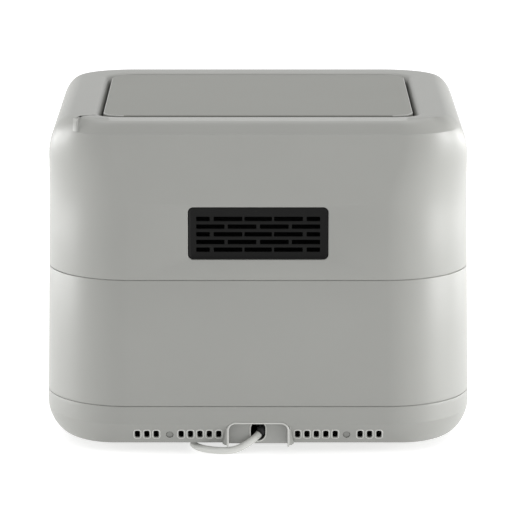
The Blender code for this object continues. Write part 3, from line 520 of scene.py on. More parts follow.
def coil_line(centre_x):
    """The wound turns, clockwise from above, each climbing onto the one below before it closes."""
    centre_y = y_of(COIL_DEPTH)
    line = []
    for step in range(int(COIL_TURNS * COIL_STEPS) + 1):
        turn = step / COIL_STEPS
        layer = int(turn) + smooth_step((turn % 1 - 0.72) / 0.2)
        angle = -2 * pi * turn
        x = centre_x + COIL_RADIUS * cos(angle)
        y = centre_y + COIL_RADIUS * sin(angle)
        line.append(Vector((x, y, CORD_LOW + layer * 2 * CORD_RADIUS)))
    return line


def make_cord():
    route = cord_route()
    coil_x = route[-1].x - COIL_RADIUS
    line = smooth_line(route, 4) + coil_line(coil_x)
    end = line[-1]
    for along in (7 * MM, 14 * MM, 20 * MM, 25 * MM):
        line.append(end + Vector((-along, 0, -1.2 * MM * (along / (25 * MM)) ** 2)))
    curve = bpy.data.curves.new("cord", "CURVE")
    curve.dimensions = "3D"
    curve.bevel_depth = CORD_RADIUS
    curve.bevel_resolution = 6
    curve.use_fill_caps = True
    spline = curve.splines.new("POLY")
    spline.points.add(len(line) - 1)
    for place, point in zip(spline.points, line):
        place.co = (*point, 1)
    spline.use_smooth = True
    cord = add_to_scene("cord", curve)
    curve.materials.append(SHEATH)
    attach(cord, "housing")
    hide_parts("cord_tube", "cord_coil")
    plug = make_plug(coil_x)
    make_tie(coil_x)


def make_plug(coil_x):
    """The moulded plug with its own ribbed strain relief."""
    plug_y = y_of(COIL_DEPTH + COIL_RADIUS)
    start = coil_x - 25 * MM
    stations = [(along, 4.3 + 0.075 * along + (0.35 if rib else -0.25), 17.0 - 0.13 * along, 0)
                for along in range(0, 31, 3) for rib in (along % 6 == 0,)]
    stations += [
        (32, 7.4, 12.9, 0.2), (33.5, 9.2, 12.7, 0.5), (35.5, 10.8, 12.6, 0.8), (39, 12.4, 12.4, 1),
        (43, 12.4, 12.4, 1), (44, 11.9, 12.4, 1), (46, 11.9, 12.4, 1), (47, 12.6, 12.4, 1),
        (55, 12.8, 12.4, 1), (57, 12.6, 12.4, 1), (57.8, 11.8, 12.4, 1), (58, 10.8, 12.4, 1),
    ]
    rings = []
    for along, wide, z, square in stations:
        tall = wide - 1.2 * square
        ring = []
        for a, b in circle(1, 40):
            stretch = (abs(a) ** 4 + abs(b) ** 4) ** -0.25
            scale = 1 + square * (stretch - 1)
            y = plug_y + a * wide * scale * MM
            ring.append(Vector((start - along * MM, y, (z + b * tall * scale) * MM)))
        rings.append(ring)
    return piece("plug", lofted(rings), SHEATH, ["plug_body"], sharp=50)


def make_tie(coil_x):
    """A strap round the coil's turns on the side away from the plug's."""
    low, high = 0.1 * MM, CORD_LOW + 3 * CORD_RADIUS + 0.5 * MM
    reach, half = CORD_RADIUS + 0.5 * MM, 4 * MM
    x, y = coil_x - COIL_RADIUS, y_of(COIL_DEPTH)
    ends = []
    for thick in (0, 0.3 * MM):
        section = upright_outline(reach - thick, low - FOOT + thick, high - FOOT - thick, 3 * MM - thick)
        for side in (-1, 1):
            ends.append([Vector((x + dx, y + side * half, z)) for dx, z in section])
    tie = lofted([ends[0], ends[1], ends[3], ends[2]], closed=True)
    return piece("cord_tie", tie, TIE)


def make_gland():
    """The ribbed sleeve that guards the cord where it leaves the back."""
    stations = [(32, 4.6), (31, 5.2), (26, 5.2), (21, 5.4), (20.6, 7.5), (16, 7.5), (15.6, 5.0)]
    for rib in range(5):
        near = 14.4 - 2.2 * rib
        crest = 4.75 - 0.1 * rib
        stations += [(near, crest), (near - 1.1, crest), (near - 1.3, 4.2), (near - 2.0, 4.15)]
    stations += [(3.4, 4.1), (2.8, 3.95), (2.6, CORD_RADIUS / MM + 0.05)]
    rings = []
    for back, radius in stations:
        middle = gland_point(back * MM)
        along = (gland_point((back + 0.5) * MM) - gland_point((back + 1) * MM)).normalized()
        side = along.cross(Vector((0, 0, 1))).normalized()
        up = side.cross(along)
        rings.append([middle + (side * a + up * b) * radius * MM for a, b in circle(1, 32)])
    return piece("gland", lofted(rings), RUBBER, ["cord_gland"], sharp=50)


# Casing


# Heights where the wall rounds over at its top and its foot, closer together near the ends
SHOULDER = [HEIGHT - SIDE_TOP_ROUND[1] * (1 - sin(pi / 2 * i / 18)) for i in range(19)]
FRONT_SHOULDER = [HEIGHT - FRONT_TOP_ROUND[1] + 3.4 * MM * i for i in range(4)]
ANKLE = sorted((HEIGHT - h) * SIDE_LOW_ROUND[1] / SIDE_TOP_ROUND[1] for h in SHOULDER)


def casing(low, high, levels, rolled_top=True):
    """A ring of casing with rounded edges, and levels between them where the wall curves."""
    edge = rolled_edge(SEAM_ROLL)
    start = [(low + up, inset) for inset, up in edge]
    finish = [(high - down, inset) for inset, down in reversed(edge)] if rolled_top else [(high, 0)]
    between = [(h, 0) for h in levels if start[-1][0] < h < finish[0][0]]
    stations = start + between + finish
    inside = [(high, WALL), *((h, WALL) for h, _ in reversed(between)), (low, WALL)]
    return lofted([flat_ring(body_outline(h, inset), h) for h, inset in stations + inside], closed=True)


def base_slot_places():
    inner = [37.7 * MM + i * BASE_SLOT_PITCH for i in range(5)]
    outer = [97.5 * MM + i * BASE_SLOT_PITCH for i in range(3)]
    return [side * x for x in inner + outer for side in (-1, 1)]


def on_facet(x, z, inward):
    """A point on the slanted foot of the rear wall, and so far in along Y."""
    depth = FACET[0] * (1 - (z - FOOT) / FACET[1])
    slope = atan2(FACET[0], FACET[1])
    if inward > SEAM_ROLL:
        return Vector((x, y_of(depth + inward), z))
    return Vector((x, y_of(depth + inward * cos(slope)), z + inward * sin(slope)))


def base_slot(middle, steps, offset):
    """The outline of a slot in the base, made larger by offset."""
    low, top = BASE_SLOT_LOW - offset, BASE_SLOT_TOP + offset
    return upright_outline(BASE_SLOT_HALF + offset, low, top, BASE_SLOT_ROUND + offset, steps, middle)


def plug_hole(side, offset):
    """The outline of a screw's hole in the base, made larger by offset."""
    return [(side * PLUG_X + a, z_of(PLUG_HEIGHT) + b) for a, b in circle(PLUG_HOLE + offset, 32)]


def make_base():
    """The base with its slots and their rims, the cord's outlet, and the caps over two screws."""
    extra = [h * MM for h in (1.2, 19.2, 20.1, 20.7, 21.3, 22.2, 31, 34)]
    levels = [h for h in sorted([*ANKLE, *extra]) if h > 1 * MM]
    top = BASE_TOP - GAP / 2
    stations = [(up, inset) for inset, up in rolled_edge(0.9 * MM)] + [(h, 0) for h in levels]
    stations += [(top - down, inset) for inset, down in reversed(rolled_edge(SEAM_ROLL))]
    stations += [(h, WALL) for h in (top, 30 * MM, 20 * MM, 12 * MM, 6 * MM, WALL)]
    mesh = lofted([flat_ring(body_outline(h, inset), h) for h, inset in stations])
    base = piece("base_shell", mesh, SHELL, ["base_cover"])
    cuts, rims = bmesh.new(), bmesh.new()
    ridge = ((0.75, 0.3), (0.7, -0.25), (0.95, -0.4), (1.3, -0.3), (1.7, 0.05), (1.7, 0.3))
    for middle in base_slot_places():
        add_flared(cuts, partial(base_slot, middle, 4), on_facet, 0.7 * MM, OUTLET_BACK)
        rings = []
        for offset, inward in ridge:
            outline = base_slot(middle, 6, offset * MM)
            rings.append([on_facet(x, z, inward * MM) for x, z in outline])
        add_loft(rims, rings, closed=True)
    # The raised rims round the slots are pale with a painted highlight.
    piece("slot_rims", rims, HIGHLIGHT_LIP, sharp=60)
    for side in (-1, 1):
        add_flared(cuts, partial(plug_hole, side), on_facet, 0.4 * MM, OUTLET_BACK)
    carve(base, cuts)
    arch = arch_outline(OUTLET_HALF + GAP / 2, -5 * MM, OUTLET_TOP + GAP / 2, OUTLET_ROUND + GAP / 2)
    carve(base, upright_prism(arch, -5 * MM, OUTLET_BACK + 2.8 * MM))

    for name, side in SIDES:
        rings = []
        for offset, inward in ((-0.2, 6), (-0.2, 1.5), (-0.4, 1.25), (-0.7, 1.15), (-2.3, 1.25)):
            sunk = Vector((0, -inward * MM, 0))
            rings.append([on_facet(x, z, 0) + sunk for x, z in plug_hole(side, offset * MM)])
        # The caps' darker colour is painted shade in their sunken holes.
        piece(f"screw_cap_{name}", lofted(rings), SHADED_CAP, [f"screw_plug_{name}"])


def outlet_ring(inset, depth):
    """The arched frame's outline at a depth, moved inwards by inset."""
    half, top, shoulder = OUTLET_HALF - inset, OUTLET_TOP - inset, OUTLET_ROUND - inset
    return upright_ring(arch_outline(half, OUTLET_LOW, top, shoulder), depth)


def outlet_pocket(offset):
    """The outline of the hollow in the frame, made larger by offset."""
    inset = OUTLET_RIM - offset
    return arch_outline(OUTLET_HALF - inset, OUTLET_LOW - 4 * MM, OUTLET_TOP - inset, OUTLET_ROUND - inset)


def outlet_notch(offset):
    """The outline of the cord's hole in the back panel, made larger by offset."""
    low, top = 1.8 * MM - offset, OUTLET_TOP - 2.5 * MM + offset
    return upright_outline(7 * MM + offset, low, top, 6.9 * MM + offset, 12)


def make_outlet():
    """The arched frame that the cord leaves through, with a rolled lip, a rimmed hole and two ribs."""
    stations = [(inset, down + MM) for inset, down in rolled_edge(OUTLET_EDGE)]
    block = lofted([outlet_ring(*station) for station in [*stations, (0, OUTLET_BACK + 2.5 * MM)]])
    # The frame takes the paler tone: painted light that offsets the shade in the hollow it sits in.
    outlet = piece("outlet_arch", block, PAINTED_LIGHT, ["cord_outlet_frame"])
    mouth = bmesh.new()
    add_flared(mouth, outlet_pocket, on_wall, OUTLET_EDGE, OUTLET_BACK)
    carve(outlet, mouth)
    carve(outlet, upright_prism(outlet_notch(0), OUTLET_BACK - 1 * MM, OUTLET_BACK + 8 * MM))

    lips = bmesh.new()
    roll, least = OUTLET_RIM / 2, 0.02 * MM
    stations = [(roll * (1 - cos(pi * i / 8)), roll * (1 - sin(pi * i / 8))) for i in range(9)]
    rings = []
    for inset, depth in [*stations, (OUTLET_RIM, 3 * MM), (0, 3 * MM)]:
        ring = outlet_ring(min(max(inset, least), OUTLET_RIM - least), depth)
        rings.append(ring[1:] + ring[:1])
    for near, far in zip(rings, rings[1:] + rings[:1]):
        for i in range(len(near) - 1):
            lips.faces.new([lips.verts.new(p) for p in (near[i], near[i + 1], far[i + 1], far[i])])
    bmesh.ops.remove_doubles(lips, verts=lips.verts, dist=0.001 * MM)
    bmesh.ops.holes_fill(lips, edges=[e for e in lips.edges if e.is_boundary])
    # The lip is pale with a painted highlight on its rolled edge.
    piece("outlet_lip", lips, HIGHLIGHT_LIP, sharp=60)

    stations = ((0, 2.4), (0, -0.5), (0.35, -0.9), (0.95, -0.9), (1.3, -0.5), (1.3, 0.2), (1.0, 2.4))
    rings = [upright_ring(outlet_notch(out * MM), OUTLET_BACK + depth * MM) for out, depth in stations]
    # The hole's rim takes the pale cord-sheath colour, a painted highlight on its rounded edge in the
    # hollow's shade.
    piece("outlet_rim", lofted(rings, closed=True), SHEATH)

    for name, side in SIDES:
        rings = []
        for height in (OUTLET_LOW + 0.6 * MM, 0, 3 * MM, 7 * MM, 12 * MM, 16 * MM, 18.6 * MM):
            wall = FACET[0] * (1 - max(0.0, height) / FACET[1])
            reach = 0.6 * MM + 0.30 * wall
            near = 0.8 * MM + 0.25 * wall
            section = [(0, near), (0.5 * reach, near + 0.1 * wall), (reach, near + 0.55 * wall)]
            section += [(reach, wall + 0.6 * MM), (0, wall + 0.6 * MM)]
            outline = [(side * (OUTLET_HALF + out), y_of(depth)) for out, depth in section]
            rings.append(flat_ring(outline, height))
        piece(f"outlet_rib_{name}", lofted(rings), SHELL, sharp=60)


def make_tongues():
    """The ledge behind each seam that keeps the casings in line."""
    for name, seam in (("low", BASE_TOP), ("middle", MID_SEAM)):
        rings = []
        for height, inset in ((-2, 1.1), (2, 1.1), (2, 2.4), (-2, 2.4)):
            rings.append(flat_ring(body_outline(seam + height * MM, inset * MM), seam + height * MM))
        tongue = piece(f"seam_tongue_{name}", lofted(rings, closed=True), SHELL)
        cut_front(tongue, DOOR_DEPTH - 2 * MM)


def make_walls():
    levels = [*((41 + 4.5 * i) * MM for i in range(6)), 100 * MM]
    lower = casing(BASE_TOP + GAP / 2, MID_SEAM - GAP / 2, levels)
    lower = piece("lower_wall", lower, SHELL, ["lower_housing"])
    cut_front(lower, DOOR_DEPTH - GAP)

    levels = [*((200 + 9 * i) * MM for i in range(8)), BAND_LOW - 1 * MM, BAND_LOW - 0.2 * MM]
    levels += [*FRONT_SHOULDER, *SHOULDER]
    upper = casing(MID_SEAM + GAP / 2, BAND_LOW, sorted(levels), rolled_top=False)
    upper = piece("upper_wall", upper, SHELL, ["upper_housing"])
    holes = bmesh.new()

    def vent(offset):
        low, high = VENT_LOW - offset, VENT_TOP + offset
        return upright_outline(VENT_HALF + offset, low, high, VENT_ROUND + offset, 10)

    add_flared(holes, vent, on_wall, 0.8 * MM, 6 * MM)
    carve(upper, holes)
    outline = upright_outline(GLASS_HALF + GAP, GLASS_LOW - GAP, GLASS_TOP + GAP, 6 * MM, 8)
    carve(upper, upright_prism(outline, DEPTH - 8 * MM, DEPTH + 5 * MM))


def recess_outline(out, side=1.0):
    """The edge of the recess in the top, moved outwards, and at its sides this many times as far."""
    round_edge = RECESS_ROUND + out
    half, rear, front = RECESS_HALF + side * out, RECESS_REAR - out, RECESS_FRONT + out
    return panel_outline(half, rear, front, round_edge, CORNER_STEPS)


def make_top():
    """The frame with its recess and the end of its band, and the panel that floats in it."""
    band = [BAND_LOW, BAND_LOW + 0.2 * MM, *[h for h in SHOULDER if h > BAND_LOW + 0.5 * MM]]
    rings = [flat_ring(body_outline(h), h) for h in band]
    lip, drop = 4.6 * MM, 8.5 * MM
    for out, down in rolled_edge(1, 9):
        rings.append(flat_ring(recess_outline(lip * out, SIDE_ROLL), HEIGHT - drop * down))
    rings.append(flat_ring(recess_outline(0), DECK_TOP + GAP))
    rings += [flat_ring(recess_outline(WALL), height) for height in (DECK_TOP + GAP, HEIGHT - drop - WALL)]
    rings.append(flat_ring(body_outline(306 * MM, WALL), 303 * MM))
    rings.append(flat_ring(body_outline(band[0], WALL), band[0]))
    surround = piece("top_surround", lofted(rings, closed=True), SHELL, ["top_frame"], sharp=30)
    # Faces on the rear lip, behind the recess, take the paler tone as a painted highlight.
    surround.data.materials.append(PAINTED_LIGHT)
    for face in surround.data.polygons:
        x, y, z = face.center
        behind = REAR_Y - RECESS_REAR < y < REAR_Y - BAND[0]
        if behind and abs(x) < BAND_SHINE[0] and z > z_of(HEIGHT - 1.5 * MM):
            face.material_index = 1

    make_band_end()

    top, edge = HEIGHT - GAP, 1.3 * MM
    sections = [(top, edge + 4 * MM), *((top - down, inset) for inset, down in rolled_edge(edge, 5))]
    sections += [(304.5 * MM, 0), (304 * MM, 0.5 * MM), (304 * MM, 2 * MM)]
    sections += [(304.6 * MM, WALL), (311 * MM, WALL)]
    rings = []
    for height, inset in sections:
        half, rear, front = PANEL_HALF - inset, PANEL_REAR + inset, PANEL_FRONT - inset
        rings.append(flat_ring(panel_outline(half, rear, front, PANEL_ROUND - inset, 14), height))
    panel = piece("floating_panel", lofted(rings), PANEL, ["top_panel"])
    # The panel's rolled side edges take the paler tone as a painted highlight.
    panel.data.materials.append(PAINTED_LIGHT)
    for face in panel.data.polygons:
        at_side = abs(face.center.x) > PANEL_HALF - PANEL_ROUND
        if at_side and face.normal.z < 0.92 and face.center.z > z_of(HEIGHT - 2 * MM):
            face.material_index = 1


def make_band_end():
    """The small pale stop that the band on the rear wall ends against."""
    near, far, columns = BAND_STOP[0] - 1.9 * MM, BAND_STOP[0] + 3.4 * MM, 8
    low, top, levels = BAND_LOW + 1 * MM, HEIGHT - 0.9 * MM, 8
    proud, buried = 0.2 * MM, 3.5 * MM
    rings = []
    for level in range(levels + 1):
        height = low + (top - low) * level / levels
        loop = []
        for inset, order in ((-proud, range(columns + 1)), (buried, range(columns, -1, -1))):
            corner = body_outline(height, inset)[:CORNER_STEPS + 1]
            for column in order:
                x = near + (far - near) * column / columns
                for (x1, y1), (x2, y2) in zip(corner, corner[1:]):
                    if x2 <= x <= x1:
                        loop.append((x, y1 + (y2 - y1) * (x1 - x) / (x1 - x2)))
                        break
        rings.append(flat_ring(loop, height))
    # Its pale tone is a painted highlight.
    piece("band_end", lofted(rings), PAINTED_LIGHT, sharp=50)


def vent_slots():
    """The exhaust's slots as (middle, half width) in each row, laid like bricks."""
    wide, narrow = 14.2 * MM, 6.4 * MM
    outer = SLOT_FIELD - narrow
    inner = SLOT_FIELD - 2 * narrow - wide - 3 * MM
    odd = [(0, 13 * MM)]
    even = []
    for side in (-1, 1):
        odd += [(side * inner, wide - 0.6 * MM), (side * outer, narrow)]
        even += [(side * 15.3 * MM, 13.6 * MM), (side * (SLOT_FIELD - 13.4 * MM), 13.4 * MM)]
    return [odd, even, odd, even, odd]


def make_exhaust():
    """The framed grille in the rear wall."""
    sunk = 1.6 * MM
    stations = [(sunk + 0.25 * MM, 3 * MM), (sunk, 2.4 * MM), (0.9 * MM, 1.5 * MM), (0.7 * MM, 1.1 * MM)]
    stations += [(0.7 * MM, 0.6 * MM), (1 * MM, 0.3 * MM), (2.7 * MM, 0.3 * MM), (2.8 * MM, -4 * MM)]
    stations.append((4.3 * MM, -4 * MM))
    rings = []
    for depth, inset in stations:
        half, low, top = VENT_HALF - inset, VENT_LOW + inset, VENT_TOP - inset
        outline = upright_outline(half, low, top, VENT_ROUND - min(inset, 3 * MM), 8)
        rings.append(upright_ring(outline, depth))
    grille = piece("vent_grille", lofted(rings), BLACK, ["exhaust_grille"])
    cuts = bmesh.new()
    middle = (VENT_LOW + VENT_TOP) / 2 - 1 * MM
    for row, slots in enumerate(vent_slots()):
        height = middle + (2 - row) * SLOT_PITCH
        for x, half in slots:
            def slot(offset, x=x, half=half, height=height):
                low, top = height - SLOT_HEIGHT / 2 - offset, height + SLOT_HEIGHT / 2 + offset
                return upright_outline(half + offset, low, top, 0.6 * MM + offset, 3, x)

            def sunk_point(x, z, inward):
                return on_wall(x, z, sunk + 0.25 * MM + inward)

            add_flared(cuts, slot, sunk_point, 0.3 * MM, 8 * MM)
    carve(grille, cuts)


# Front: drawer, handle and controls


def make_drawer():
    """The drawer's front with its liner, the tub behind it and the handle."""
    low, top = BASE_TOP + GAP / 2, MID_SEAM - GAP / 2
    skin = casing(low, top, [60 * MM, 100 * MM, 140 * MM])
    front = piece("drawer_face", skin, SHELL, ["drawer_front"], "drawer")
    cut_front(front, -0.1, DOOR_DEPTH)

    near, far = DOOR_DEPTH + 0.2 * MM, DOOR_DEPTH + 3 * MM
    rings = []
    for inset, depth in ((1 * MM, near), (0, near + 1 * MM), (0, far)):
        start, stop = low + 0.6 * MM + inset, top - 0.6 * MM - inset
        outline = upright_outline(LINER_HALF - inset, start, stop, LINER_ROUND - inset, 6)
        rings.append(upright_ring(outline, depth))
    piece("drawer_back", lofted(rings), COATED, ["drawer_front_liner"], "drawer")

    front_face = DOOR_DEPTH - GAP
    base = TUB_LOW + TUB_OUTER
    sections = [(TUB_LOW + up, -inset) for inset, up in rolled_edge(TUB_OUTER, 6)]
    sections += [(RIM_LOW - 1.5 * MM, 0), (RIM_LOW, 0.6 * MM), (RIM_LOW, 3.6 * MM)]
    sections += [(RIM_LOW + 0.5 * MM, 4 * MM), (TUB_TOP - 0.4 * MM, 4 * MM), (TUB_TOP, 3.6 * MM)]
    sections += [(TUB_TOP, 0), (TUB_TOP - 1 * MM, -TUB_WALL), (base, -TUB_WALL)]
    inside = rolled_edge(TUB_INNER, 6)[1:]
    sections += [(base - TUB_INNER + inset, -TUB_WALL - down) for inset, down in inside]
    rings = []
    for height, wider in sections:
        longer = min(0, wider)
        half, rear, end = TUB_HALF + wider, TUB_REAR - longer, front_face + longer
        rings.append(flat_ring(panel_outline(half, rear, end, TUB_ROUND + longer, 10), height))
    piece("cooking_tub", lofted(rings), COATED, ["drawer_tub"], "drawer")

    edge = rolled_edge(HANDLE_EDGE, 5)
    levels = [(HANDLE_LOW + up, inset) for inset, up in edge]
    levels += [(HANDLE_TOP - down, inset) for inset, down in reversed(edge)]
    handle = lofted([flat_ring(handle_outline(inset), height) for height, inset in levels])
    piece("handle", handle, SOFT_BLACK, ["drawer_handle"], "drawer")


def handle_outline(inset):
    """The handle in plan: a bar on two posts, its edges moved in by inset."""
    half, post, bar = 85 * MM, 18 * MM, 15 * MM
    root, tip = y_of(DEPTH + GAP), DEPTH + HANDLE_REACH
    inner, outer, steps = 8 * MM + inset, 18 * MM - inset, 12
    inside, outside = half - post + inset, half - inset
    outline = [(-outside, root), (-inside, root)]
    for side, start in ((-1, 180), (1, 270)):
        outline += arc(side * (inside - inner), y_of(tip - bar + inset - inner), inner, start, steps)
    outline += [(inside, root), (outside, root)]
    for side, start in ((1, 0), (-1, -90)):
        outline += arc(side * (outside - outer), y_of(tip - inset - outer), outer, start, steps, -90)
    return outline


def make_crisper(name, side):
    """One slotted plate on four legs."""
    middle, half = side * (PLATE_NEAR + PLATE_FAR) / 2, (PLATE_FAR - PLATE_NEAR) / 2
    rings = []
    for height, inset in ((0, 0.4), (0.4, 0), (1.1, 0), (1.5, 0.4)):
        inset *= MM
        outline = panel_outline(half - inset, 66 * MM + inset, 314 * MM - inset, 20 * MM - inset, 8)
        rings.append(flat_ring([(x + middle, y) for x, y in outline], PLATE_HEIGHT + height * MM))
    body, nodes = f"crisper_{name}", [f"crisper_plate_{name}"]
    plate = piece(body, lofted(rings), COATED, nodes, body)
    slots = bmesh.new()
    for row in range(6):
        depth = (94 + 38 * row) * MM
        for column in (-1, 0, 1):
            x = middle + column * 45 * MM
            outline = panel_outline(15 * MM, depth - 4 * MM, depth + 4 * MM, 3.9 * MM, 6)
            ring = [(x + px, y) for px, y in outline]
            add_loft(slots, [flat_ring(ring, PLATE_HEIGHT - 4 * MM), flat_ring(ring, PLATE_HEIGHT + 6 * MM)])
    carve(plate, slots)
    legs = bmesh.new()
    foot = TUB_LOW + TUB_WALL + GAP
    levels = ((3.6, foot), (4.8, foot + 1 * MM), (5, foot + 2 * MM), (5, PLATE_HEIGHT + 1 * MM))
    for x in (middle - 62 * MM, middle + 62 * MM):
        for depth in (84 * MM, 296 * MM):
            rings = []
            for radius, height in levels:
                ring = circle(radius * MM, 24)
                rings.append(flat_ring([(x + a, y_of(depth) + b) for a, b in ring], height))
            add_loft(legs, rings)
    carve(plate, legs, "UNION")


def turned_on_dial(profile):
    """Turns a closed profile of (radius, distance out from the front) about the dial's axis, in mm."""
    points = [(radius * MM, y_of(DEPTH + out * MM)) for radius, out in profile]
    return turned(points, (0, 0, z_of(DIAL_HEIGHT)), (0, 1, 0), 64)


def make_marks():
    """The ticks round the dial and three small signs on each side of it."""
    marks = bmesh.new()

    def add_mark(centre_x, centre_z, along, across, angle):
        turned_outline = []
        for x, z in upright_outline(along, -across, across, across * 0.95, 5):
            z -= FOOT
            mark_x, mark_z = x * cos(angle) - z * sin(angle), x * sin(angle) + z * cos(angle)
            turned_outline.append((centre_x + mark_x, centre_z + mark_z))
        rings = [upright_ring(turned_outline, DEPTH + out) for out in (-0.05 * MM, 0.08 * MM)]
        add_loft(marks, rings)

    for tick in range(24):
        angle = 2 * pi * tick / 24
        reach = 31.2 * MM
        along, across = (2.0 * MM, 0.5 * MM) if tick % 6 == 0 else (1.1 * MM, 0.3 * MM)
        add_mark(reach * cos(angle), z_of(DIAL_HEIGHT) + reach * sin(angle), along, across, angle)
    for side in (-1, 1):
        for place in (58, 80, 100):
            add_mark(side * place * MM, z_of(198 * MM), 4 * MM, 0.35 * MM, 0)
            for turn in range(3):
                angle = radians(90 + 120 * turn)
                x, z = side * place * MM + 4 * MM * cos(angle), z_of(206.5 * MM) + 4 * MM * sin(angle)
                add_mark(x, z, 1.6 * MM, 0.4 * MM, angle)
    piece("control_marks", marks, INK)


def make_dial():
    """The knurled ring with its pointer."""
    knurls, ring_steps = 60, 240
    profile = [(26.2, 0.6), (27, 1.2), (27, 12.0), (26.75, 13.2), (26.1, 14.3), (25.2, 14.9)]
    profile += [(24.2, 15), (17.4, 15), (16.4, 14.8), (15.7, 14.2), (15.4, 13.3), (15.4, 0.6)]
    rings = []
    for radius, offset in profile:
        knurled = radius > 26.9 and 1 < offset < 13
        ring = []
        for i in range(ring_steps):
            angle = 2 * pi * i / ring_steps
            groove = 0.3 * (0.5 + 0.5 * cos(knurls * angle)) if knurled else 0
            reach = (radius - groove) * MM
            ring.append((reach * cos(angle), z_of(DIAL_HEIGHT) + reach * sin(angle)))
        rings.append(upright_ring(ring, DEPTH + offset * MM))
    piece("dial_ring", lofted(rings, closed=True), SPUN, ["dial"], "dial")
    outline = upright_outline(0.6 * MM, DIAL_HEIGHT + 18.5 * MM, DIAL_HEIGHT + 23.5 * MM, 0.58 * MM, 4)
    pointer = upright_prism(outline, DEPTH + 14.6 * MM, DEPTH + 15.12 * MM)
    piece("dial_pointer", pointer, BLACK, body="dial")


def make_controls():
    """The glass with its marks, the dial round its collar, and the start key."""
    rings = []
    for inset, down in [*rolled_edge(0.8 * MM), (0, 3 * MM)]:
        half, low, top = GLASS_HALF - inset, GLASS_LOW + inset, GLASS_TOP - inset
        rings.append(upright_ring(upright_outline(half, low, top, 6 * MM - inset, 8), DEPTH - down))
    glass = piece("control_window", lofted(rings), GLASS, ["control_glass"])
    stem = [(a, z_of(DIAL_HEIGHT) + b) for a, b in circle(6 * MM, 32)]
    carve(glass, upright_prism(stem, DEPTH - 8 * MM, DEPTH + 5 * MM))
    make_marks()
    collar = [(5.6, -4), (5.6, 0.4), (15, 0.4), (15, 11.7), (14.7, 12)]
    collar += [(12.9, 12), (12.6, 11.7), (12.6, 3), (1, 3), (1, -4)]
    piece("dial_collar", turned_on_dial(collar), BLACK, ["dial_hub"])
    make_dial()
    key = [(0.5, 5.2), (12.2, 5.2), (12.2, 12.2), (11.9, 12.75), (11.2, 13), (8, 12.85), (4, 12.6)]
    key.append((0.5, 12.55))
    piece("start_key", turned_on_dial(key), BLACK, ["start_button"], "start_button")
    outer, inner = (arc(0, z_of(DIAL_HEIGHT), radius, 125, 30, 290) for radius in (3.2 * MM, 2.6 * MM))
    symbol = upright_prism([*outer, *reversed(inner)], DEPTH + 12.5 * MM, DEPTH + 12.72 * MM)
    bar = upright_outline(0.3 * MM, DIAL_HEIGHT + 0.6 * MM, DIAL_HEIGHT + 4.0 * MM, 0.28 * MM, 4)
    add_loft(symbol, [upright_ring(bar, DEPTH + out * MM) for out in (12.5, 12.78)])
    piece("start_symbol", symbol, INK, body="start_button")


def make_feet():
    points = [(2, 1.2), (9.2, 1.2), (9.6, 0), (10.6, 0), (11.2, 0.6), (11.9, 8.9), (12, 9.7), (2, 9.7)]
    points = [(radius * MM, z * MM) for radius, z in points]
    for side_name, side in SIDES:
        for end_name, depth in (("back", 76 * MM), ("front", 300 * MM)):
            foot = turned(points, (side * FOOT_X, y_of(depth), 0), (0, 0, 1), 48, closed=False)
            name = f"{end_name}_{side_name}"
            piece(f"pad_{name}", foot, RUBBER, [f"foot_{name}"])


# Pieces that keep their CAD shape


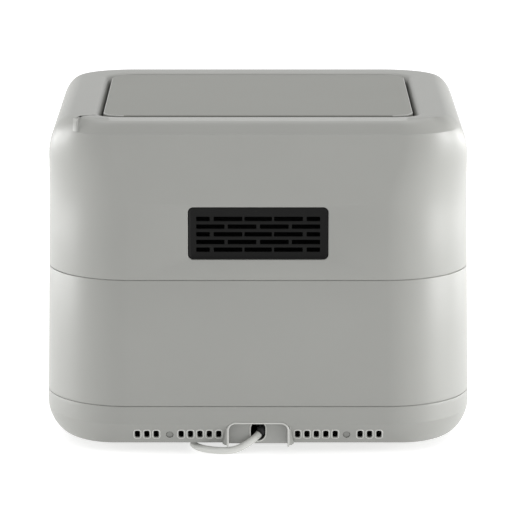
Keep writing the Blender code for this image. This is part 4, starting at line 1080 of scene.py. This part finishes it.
def dress_nodes():
    """Finishes for the nodes that are shown as they are. A * stands for left and for right."""
    finishes = {
        PLATED: ["cavity_liner", "cavity_ceiling", "heater_dome_*", "motor_bracket_*", "hot_fan_*"],
        STEEL: ["cavity_bezel", "drawer_runner_*", "heater_guard_*", "motor_shaft_*", "temperature_probe"],
        HEATER: ["heating_element_*"],
        # The duct is painted near black, as the shade inside it.
        DUCT_SHADE: ["exhaust_duct"],
        BLACK: ["intake_deck", "interlock_switch", "cooling_fan_*"],
        NYLON: ["interlock_plunger"],
        WINDING: ["fan_motor_*"],
        LAMINATED: ["transformer"],
        BOARD: ["power_board", "control_board"],
        NICKEL: ["plug_blade_live", "plug_blade_neutral", "plug_earth_pin"],
    }
    for material, names in finishes.items():
        for name in names:
            for side in ("left", "right") if "*" in name else ("",):
                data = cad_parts[name.replace("*", side)].data
                data.materials.clear()
                data.materials.append(material)


# Floor and light


def make_stage():
    data = bpy.data.meshes.new("floor")
    data.from_pydata([(-6, -9, 0), (6, -9, 0), (6, 9, 0), (-6, 9, 0)], [], [(0, 1, 2, 3)])
    obj = add_to_scene("floor", data)
    paint = grained("pale_floor", (0.62, 0.62, 0.62), 0.7, grain=8 * MM, bump=0.0, vary=0.004, specular=0.2)
    shader = paint.node_tree.nodes["Principled BSDF"]
    shader.inputs["Emission Color"].default_value = (1, 1, 1, 1)
    shader.inputs["Emission Strength"].default_value = 0.62
    data.materials.append(paint)


def add_light(name, place, size, power):
    """A rectangular light that faces the body's middle."""
    light = bpy.data.lights.new(name, "AREA")
    light.shape = "RECTANGLE"
    light.size, light.size_y = size
    light.energy = power
    obj = add_to_scene(name, light)
    obj.location = place
    obj.rotation_euler = (Vector((0, 0, 0.16)) - Vector(place)).to_track_quat("-Z", "Y").to_euler()


def make_lights():
    world = bpy.data.worlds.new("studio")
    world.use_nodes = True
    sky = world.node_tree.nodes["Background"]
    sky.inputs["Color"].default_value = (1, 1, 1, 1)
    sky.inputs["Strength"].default_value = 0.895
    bpy.context.scene.world = world
    bpy.context.scene.view_settings.view_transform = "Standard"
    add_light("side_left", (2.2, -0.1, 0.2), (1.0, 1.0), 34)
    add_light("side_right", (-2.2, 0.4, 0.2), (1.2, 1.0), 54)
    add_light("rim_left", (2.4, -1.6, 0.05), (1.4, 0.7), 31)
    add_light("rim_right", (-2.4, -1.6, 0.05), (1.4, 0.7), 41)
    add_light("overhead", (0, -0.7, 3.1), (2.4, 1.6), 29)


def main():
    make_camera()
    make_cord()
    make_gland()
    make_base()
    make_outlet()
    make_walls()
    make_tongues()
    make_top()
    make_exhaust()
    make_drawer()
    for name, side in SIDES:
        make_crisper(name, side)
    make_controls()
    make_feet()
    dress_nodes()
    make_stage()
    make_lights()


main()
